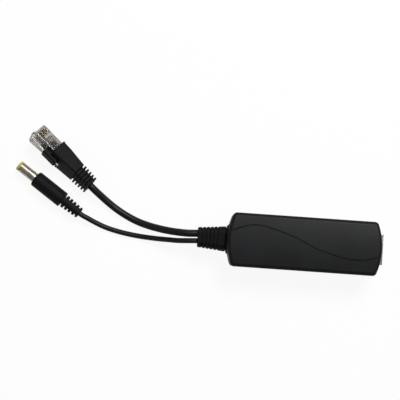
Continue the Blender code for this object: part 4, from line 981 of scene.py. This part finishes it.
class SPLITTER_OT_cable_boot(bpy.types.Operator):
    """Make the ribbed boot that holds both cables in the case's end"""
    bl_idname = "splitter.cable_boot"
    bl_label = "Cable boot"

    def execute(self, context):
        ribbed = BOOT_END + BOOT_TIP_ROUND
        plain = COLLAR_FACE - BOOT_NOTCH
        length = plain - ribbed
        tip = grown(BOOT_TIP, -2 * BOOT_TIP_ROUND)
        stations = [(BOOT_END, tip)]
        # The round of its tip: a quarter turn in four steps
        for turn in (1, 2, 3, 4):
            angle = math.pi / 8 * turn
            fall = BOOT_TIP_ROUND * (1 - math.sin(angle))
            stations.append((BOOT_END + BOOT_TIP_ROUND * (1 - math.cos(angle)),
                             grown(BOOT_TIP, -2 * fall)))
        pitch = (length - BOOT_PLAIN) / BOOT_GROOVES
        for index in range(BOOT_GROOVES):
            end = ribbed + pitch * (index + 1)
            start = end - BOOT_GROOVE_WIDTH
            slope = BOOT_GROOVE_WIDTH / 5
            for place, shift, low in ((start, 0, 0), (start, slope, BOOT_GROOVE_DEPTH),
                                      (end, -slope, BOOT_GROOVE_DEPTH), (end, 0, 0)):
                size = between(BOOT_TIP, BOOT_BASE, (place - ribbed) / length)
                stations.append((place + shift, grown(size, -2 * low)))
        inner = grown(BOOT_BASE, -2 * BOOT_GROOVE_DEPTH)
        step = BOOT_NOTCH / 10
        stations += [(plain, BOOT_BASE), (plain + step, inner), (COLLAR_FACE - 2 * step, inner),
                     (COLLAR_FACE - step, BOOT_NECK), (FLANGE_FACE, BOOT_NECK),
                     (FLANGE_FACE + step, BOOT_FLANGE), (FLANGE_BACK, BOOT_FLANGE)]
        boot = lift(swept(stations, tip[1] * BOOT_CORNER, 8), MID_HEIGHT)
        soften(boot, BOOT_ROUND, 2, 30)
        run = FLANGE_BACK - BOOT_END + 2 * SEAT
        bores = [cut(rod((BOOT_END - SEAT, y, MID_HEIGHT), run, diameter + 2 * BORE_FIT))
                 for y, diameter in ((DATA_Y, DATA_DIAMETER), (POWER_Y, POWER_DIAMETER))]
        add_piece("boot", combine(boot, *bores), "soft PVC", "black_pvc", ["cable_boot"])
        return {"FINISHED"}


class SPLITTER_OT_plug_sleeve(bpy.types.Operator):
    """Make the rubber sleeve over the network plug, with its ribbed tail"""
    bl_idname = "splitter.plug_sleeve"
    bl_label = "Plug sleeve"

    def execute(self, context):
        bead = grown(SLEEVE_FRONT, BEAD)
        bead_end = SLEEVE_START + BEAD_LENGTH
        stations = [(SLEEVE_START, bead), (bead_end, bead), (bead_end + BEAD_SLOPE, SLEEVE_FRONT),
                    (SLEEVE_SHOULDER, SLEEVE_MIDDLE), (SLEEVE_END, SLEEVE_REAR)]
        gap = RIB_PITCH - RIB_THICKNESS
        for index in range(RIBS):
            rib = between(RIB_FIRST, RIB_LAST, index / (RIBS - 1))
            start = SLEEVE_END + index * RIB_PITCH
            stations += [(start + gap / 8, RIB_CORE), (start + gap * 7 / 8, RIB_CORE),
                         (start + gap, rib), (start + RIB_PITCH, rib)]
        sleeve = soften(swept(stations, SLEEVE_CORNER, 5), SLEEVE_ROUND, 2, 40)
        low = PLUG_THICKNESS / 2 + SEAT
        tongue = prism([(TONGUE_TIP, low), (SLEEVE_SHOULDER, low),
                        (SLEEVE_SHOULDER, low + TONGUE_THICKNESS),
                        (TONGUE_TIP, low + TONGUE_THICKNESS / 2)],
                       -TONGUE_WIDTH / 2, TONGUE_WIDTH / 2)
        bmesh.ops.scale(tongue, vec=(1, TONGUE_TAPER, 1), verts=[
            vert for vert in tongue.verts if vert.co.x < TONGUE_TIP + SEAT])
        soften(tongue, TONGUE_ROUND)
        web = block((SLEEVE_END - SEAT, -RIB_WEB / 2, -RIB_LAST[1] / 2 + SEAT),
                    (PLUG_END - SEAT, RIB_WEB / 2, RIB_LAST[1] / 2 - SEAT), WEB_ROUND)
        wide = PLUG_WIDTH / 2 + SEAT
        room = block((SLEEVE_START - SEAT, -wide, -low), (PLUG_LENGTH + SEAT, wide, low))
        bore = rod((PLUG_LENGTH, 0, 0), PLUG_END - PLUG_LENGTH + SEAT,
                   DATA_DIAMETER + 2 * BORE_FIT)
        side = GUARD_GAP + GUARD_THICKNESS
        guard = soften(block((GUARD_START, -side, GUARD_LOW), (GUARD_END, side, GUARD_HIGH)),
                       GUARD_ROUND, 4, chosen=lambda edge: edge.verts[0].co.z > GUARD_ROOF
                       and abs(edge.verts[0].co.x - edge.verts[1].co.x) > MM)
        tunnel = block((GUARD_START - SEAT, -GUARD_GAP, low + TONGUE_THICKNESS),
                       (GUARD_END + SEAT, GUARD_GAP, GUARD_ROOF))
        spot = soften(rod((0, 0, 0), SPOT_HEIGHT, SPOT_WIDTH), SPOT_ROUND)
        bmesh.ops.transform(spot, matrix=Matrix.Translation(SPOT)
                            @ Matrix.Rotation(math.pi / 2, 4, "Z"), verts=spot.verts)
        sleeve = combine(sleeve, add(tongue), add(web), add(spot),
                         add(combine(guard, cut(tunnel))), cut(room), cut(bore))
        add_piece("plug_sleeve", sleeve, "soft PVC", "black_pvc", ["plug_boot"], DATA_PLUG)
        return {"FINISHED"}


# ---------------------------------------------------------------- plugs

def latch_arm(half_t):
    """The latch that starts at the plug's nose and arcs back over its broad face."""
    under = half_t + LATCH_RISE
    over = under + LATCH_THICKNESS
    proud = LATCH_ROOT_PROUD
    tail = LATCH_SWELL
    root = LATCH_ROOT
    latch = prism([
        (root, half_t - root), (root, half_t), (LATCH_THICKNESS, under),
        (LATCH_NARROWS, under), (GUARD_END, under + tail / 9),
        (LATCH_LEVELS, under + tail / 2), (LATCH_LENGTH, under + tail * 0.6),
        (LATCH_LENGTH, over + tail * 0.4), (LATCH_LEVELS, over + tail / 2),
        (GUARD_END, over + tail / 9), (LATCH_NARROWS, over),
        (LATCH_THICKNESS / 2, over), (-proud / 2, over - proud / 2),
        (-proud, under - proud / 2), (-proud, half_t - root / 2),
        (-proud / 2, half_t - root)], -LATCH_WIDTH / 2, LATCH_WIDTH / 2)
    for place in (LATCH_THICKNESS, LATCH_NARROWS):
        bmesh.ops.bisect_plane(latch, geom=latch.verts[:] + latch.edges[:] + latch.faces[:],
                               plane_co=(place, 0, 0), plane_no=(1, 0, 0))
    bmesh.ops.remove_doubles(latch, verts=latch.verts, dist=MERGE)
    bmesh.ops.scale(latch, vec=(1, LATCH_TAIL_WIDTH / LATCH_WIDTH, 1), verts=[
        vert for vert in latch.verts if vert.co.x > LATCH_NARROWS - SEAT])
    return soften(latch, LATCH_ROUND)


def squashed_jacket(half_w):
    """The cable's jacket in the plug, cut unevenly and pressed flat by the strain relief."""
    reach = half_w - PLUG_WALL - JACKET_SIDE_FIT
    jacket = block((JACKET_FRONT, -reach, JACKET_LOW), (PLUG_LENGTH, reach, JACKET_HIGH))
    bmesh.ops.subdivide_edges(jacket, edges=jacket.edges[:], cuts=6, use_grid_fill=True)
    front = [vert for vert in jacket.verts if vert.co.x < JACKET_FRONT + HAIR]
    for index, vert in enumerate(front):
        vert.co.x += JACKET_FRAY[index % len(JACKET_FRAY)] * MM
    return combine(jacket, cut(rod((JACKET_IN_PLUG - MM, 0, 0), PLUG_LENGTH,
                                   DATA_DIAMETER + JACKET_BORE_FIT)))


class SPLITTER_OT_network_plug(bpy.types.Operator):
    """Make the clear network plug with its latch and finish its blades and wires"""
    bl_idname = "splitter.network_plug"
    bl_label = "Network plug"

    def execute(self, context):
        half_w = PLUG_WIDTH / 2
        half_t = PLUG_THICKNESS / 2
        rows = [(index - (BLADES - 1) / 2) * BLADE_PITCH for index in range(BLADES)]
        channel_top = -half_t + BLADE_RECESS + BLADE_HEIGHT + SEAT
        channel_half = rows[-1] + PLUG_WIRE / 2 + FINE_FIT
        side_start, side_end, side_low, side_high = SIDE_RIB
        face_start, face_end, face_low, face_high = FACE_RIB
        steps = [
            add(latch_arm(half_t)),
            add(block((side_start, half_w - SEAT, side_low),
                      (side_end, half_w + MOULD_RIB_PROUD, side_high), MOULD_RIB_ROUND, 2)),
            add(block((face_start, face_low, half_t - SEAT),
                      (face_end, face_high, half_t + MOULD_RIB_PROUD), MOULD_RIB_ROUND, 2)),
            cut(block((BLADE_START, -channel_half, channel_top - SEAT),
                      (PLUG_LENGTH + MM, channel_half, channel_top + MM))),
            cut(block((JACKET_IN_PLUG - 5 * PLUG_WIRE, -half_w + PLUG_WALL, -half_t + PLUG_WALL),
                      (PLUG_LENGTH + SEAT, half_w - PLUG_WALL, half_t - PLUG_WALL)))]
        slot_end = BLADE_START + BLADE_LENGTH + FINE_FIT
        slot_half = BLADE_THICKNESS / 2 + FINE_FIT
        steps += [cut(block((BLADE_START - FINE_FIT, y - slot_half, -half_t - SEAT),
                            (slot_end, y + slot_half, channel_top))) for y in rows]
        body = block((0, -half_w, -half_t), (PLUG_LENGTH, half_w, half_t), PLUG_ROUND)
        add_piece("plug_shell", combine(body, *steps), "clear polycarbonate",
                  "clear_polycarbonate", ["plug_body"], DATA_PLUG)
        add_piece("squashed_jacket", squashed_jacket(half_w), "jacket PVC", "cable_jacket",
                  place=DATA_PLUG)

        first, *others = (rod((BLADE_START + FINE_FIT, y, channel_top + WIRE_TIP_RISE),
                              BLADE_LENGTH + 2 * FINE_FIT, PLUG_WIRE + FINE_FIT) for y in rows)
        tips = combine(first, *map(add, others))
        add_piece("wire_tips", tips, "brown insulation", "wire_brown", place=DATA_PLUG)

        colours = ("brown", "white", "green", "white", "blue", "white", "orange", "white")
        for index, colour in enumerate(colours):
            dress(f"plug_contact_{index + 1}", "gold plate")
            dress(f"plug_wire_{index + 1}", colour + " insulation")
        return {"FINISHED"}


class SPLITTER_OT_power_plug(bpy.types.Operator):
    """Turn the DC plug's barrel, tip ring, pin and ribbed grip"""
    bl_idname = "splitter.power_plug"
    bl_label = "DC plug"

    def execute(self, context):
        barrel = turned([(BARREL_END, BARREL_RADIUS), (TIP_RING + FINE_FIT, BARREL_RADIUS),
                         (TIP_RING + FINE_FIT, BARREL_BORE), (BARREL_END, BARREL_BORE)])
        soften(barrel, BARREL_ROUND)
        add_piece("barrel", barrel, "satin nickel", "nickel_plate", ["barrel_sleeve"], POWER_PLUG)

        liner = BARREL_BORE - FINE_FIT
        hole = PIN_OUTER + FINE_FIT
        ring = turned([(BARREL_END, liner), (TIP_RING, liner), (TIP_RING, BARREL_RADIUS),
                       (0, BARREL_RADIUS), (0, hole), (BARREL_END, hole)])
        soften(ring, TIP_ROUND, 4, chosen=lambda edge: max(
            vert.co.x for vert in edge.verts) < HAIR)
        add_piece("tip_ring", ring, "yellow nylon", "yellow_insulator", ["tip_insulator"],
                  POWER_PLUG)

        pin = turned([(BARREL_END, PIN_OUTER), (PIN_RECESS, PIN_OUTER), (PIN_RECESS, PIN_BORE),
                      (BARREL_END, PIN_BORE)], 48)
        soften(pin, PIN_ROUND)
        add_piece("pin", pin, "nickel plate", "nickel_plate", ["pin_tube"], POWER_PLUG)

        cable_hole = POWER_DIAMETER / 2 + BORE_FIT
        grip = turned([(POWER_PLUG_END, GRIP_TAIL[1]), (GRIP_END, GRIP_TAIL[0]),
                       (GRIP_END, GRIP_RADIUS), (GRIP_START, GRIP_RADIUS),
                       (GRIP_START, BARREL_RADIUS + BORE_FIT),
                       (BARREL_END + SEAT, BARREL_RADIUS + BORE_FIT),
                       (BARREL_END + SEAT, cable_hole), (POWER_PLUG_END, cable_hole)])
        soften(grip, GRIP_FRONT_ROUND, 5, chosen=lambda edge: all(
            vert.co.x < GRIP_START + HAIR and vert.co.yz.length > 0.9 * GRIP_RADIUS
            for vert in edge.verts))
        soften(grip, GRIP_ROUND, 3, 50, lambda edge: min(
            vert.co.x for vert in edge.verts) > GRIP_START + MM)
        oblong = block(*(Vector(corner) * MM for corner in OBLONG))
        soften(oblong, OBLONG_END_ROUND, 6, chosen=lambda edge: abs(
            edge.verts[0].co.z - edge.verts[1].co.z) > MM / 2)
        soften(oblong, OBLONG_ROUND, 2, 60)
        bmesh.ops.rotate(oblong, cent=(0, 0, 0), verts=oblong.verts,
                         matrix=Matrix.Rotation(math.radians(OBLONG_TURN), 3, "X"))
        steps = [add(oblong)]
        for index in range(GRIP_NOTCHES):
            start = GRIP_END + index * GRIP_NOTCH_PITCH
            for side in (-1, 1):
                near, far = sorted((side * GRIP_WEB / 2, side * 1.1 * GRIP_RADIUS))
                steps.append(cut(block((start, near, -GRIP_RADIUS),
                                       (start + GRIP_NOTCH_WIDTH, far, GRIP_RADIUS))))
        add_piece("grip", combine(grip, *steps), "soft PVC", "black_pvc", ["power_plug_grip"],
                  POWER_PLUG)
        return {"FINISHED"}


# ---------------------------------------------------------------- the cables

def cable(name, node, y, diameter, route, plug_frame, inside):
    """A round jacket from inside the case, through the boot and along its route, into a plug."""
    straight = (JACKET_END, (JACKET_END + COLLAR_FACE) / 2, COLLAR_FACE,
                (COLLAR_FACE + BOOT_END) / 2, BOOT_END + DATA_DIAMETER, BOOT_END)
    points = [CASE_MIDDLE @ Vector((x, y, MID_HEIGHT)) for x in straight]
    points += [CASE_MIDDLE @ (Vector(point) * MM) for point in route]
    points += [plug_frame @ Vector((place, 0, 0)) for place in inside]
    made = cord(name, points, diameter, 8, 8)
    made.data.materials.append(finish("jacket PVC"))
    seat(made, "cable_jacket", node)
    return made, sum((b - a).length for a, b in zip(points, points[1:]))


class SPLITTER_OT_cables(bpy.types.Operator):
    """Lay the two cables from the boot to their plugs"""
    bl_idname = "splitter.cables"
    bl_label = "Cables"

    def execute(self, context):
        sizes = context.scene.splitter_cables
        data, data_length = cable(
            "data_lead", "data_cable", DATA_Y, sizes.data_diameter, DATA_ROUTE, DATA_PLUG,
            (PLUG_END + DATA_DIAMETER / 2, PLUG_END - DATA_DIAMETER, SLEEVE_END,
             (SLEEVE_END + PLUG_LENGTH) / 2, PLUG_LENGTH, (PLUG_LENGTH + JACKET_IN_PLUG) / 2,
             JACKET_IN_PLUG))
        power, power_length = cable(
            "power_lead", "power_cable", POWER_Y, sizes.power_diameter, POWER_ROUTE, POWER_PLUG,
            (POWER_PLUG_END + POWER_DIAMETER / 2, POWER_PLUG_END - POWER_DIAMETER, GRIP_END,
             (GRIP_END + BARREL_END) / 2, BARREL_END + 2 * SEAT))
        on_data = ["plug_shell", "plug_sleeve", "squashed_jacket", "wire_tips"]
        on_data += [f"plug_contact_{index + 1}" for index in range(BLADES)]
        on_data += [f"plug_wire_{index + 1}" for index in range(BLADES)]
        return {"FINISHED"}


# ---------------------------------------------------------------- the panel

class SPLITTER_PT_pieces(bpy.types.Panel):
    bl_idname = "SPLITTER_PT_pieces"
    bl_label = "PoE splitter"
    bl_space_type = "VIEW_3D"
    bl_region_type = "UI"
    bl_category = "Splitter"

    def draw(self, context):
        for group in SETTINGS:
            box = self.layout.box()
            settings = getattr(context.scene, group)
            for name in settings.__annotations__:
                box.prop(settings, name)
        for operator in OPERATORS:
            self.layout.operator(operator.bl_idname)


SETTINGS = {
    "splitter_case": SplitterCaseSettings,
    "splitter_cables": SplitterCableSettings,
    "splitter_plugs": SplitterPlugSettings,
    "splitter_stage": SplitterStageSettings,
}
OPERATORS = (SPLITTER_OT_stage, SPLITTER_OT_network_plug, SPLITTER_OT_plug_sleeve,
             SPLITTER_OT_power_plug, SPLITTER_OT_cables, SPLITTER_OT_cable_boot,
             SPLITTER_OT_case, SPLITTER_OT_socket, SPLITTER_OT_board)


def register():
    for name, group in SETTINGS.items():
        bpy.utils.register_class(group)
        setattr(bpy.types.Scene, name, PointerProperty(type=group))
    for made in (*OPERATORS, SPLITTER_PT_pieces):
        bpy.utils.register_class(made)


def unregister():
    for made in (SPLITTER_PT_pieces, *reversed(OPERATORS)):
        bpy.utils.unregister_class(made)
    for name, group in SETTINGS.items():
        delattr(bpy.types.Scene, name)
        bpy.utils.unregister_class(group)


def main():
    register()
    for operator in OPERATORS:
        getattr(bpy.ops.splitter, operator.bl_idname.split(".")[1])()


if __name__ == "__main__":
    main()
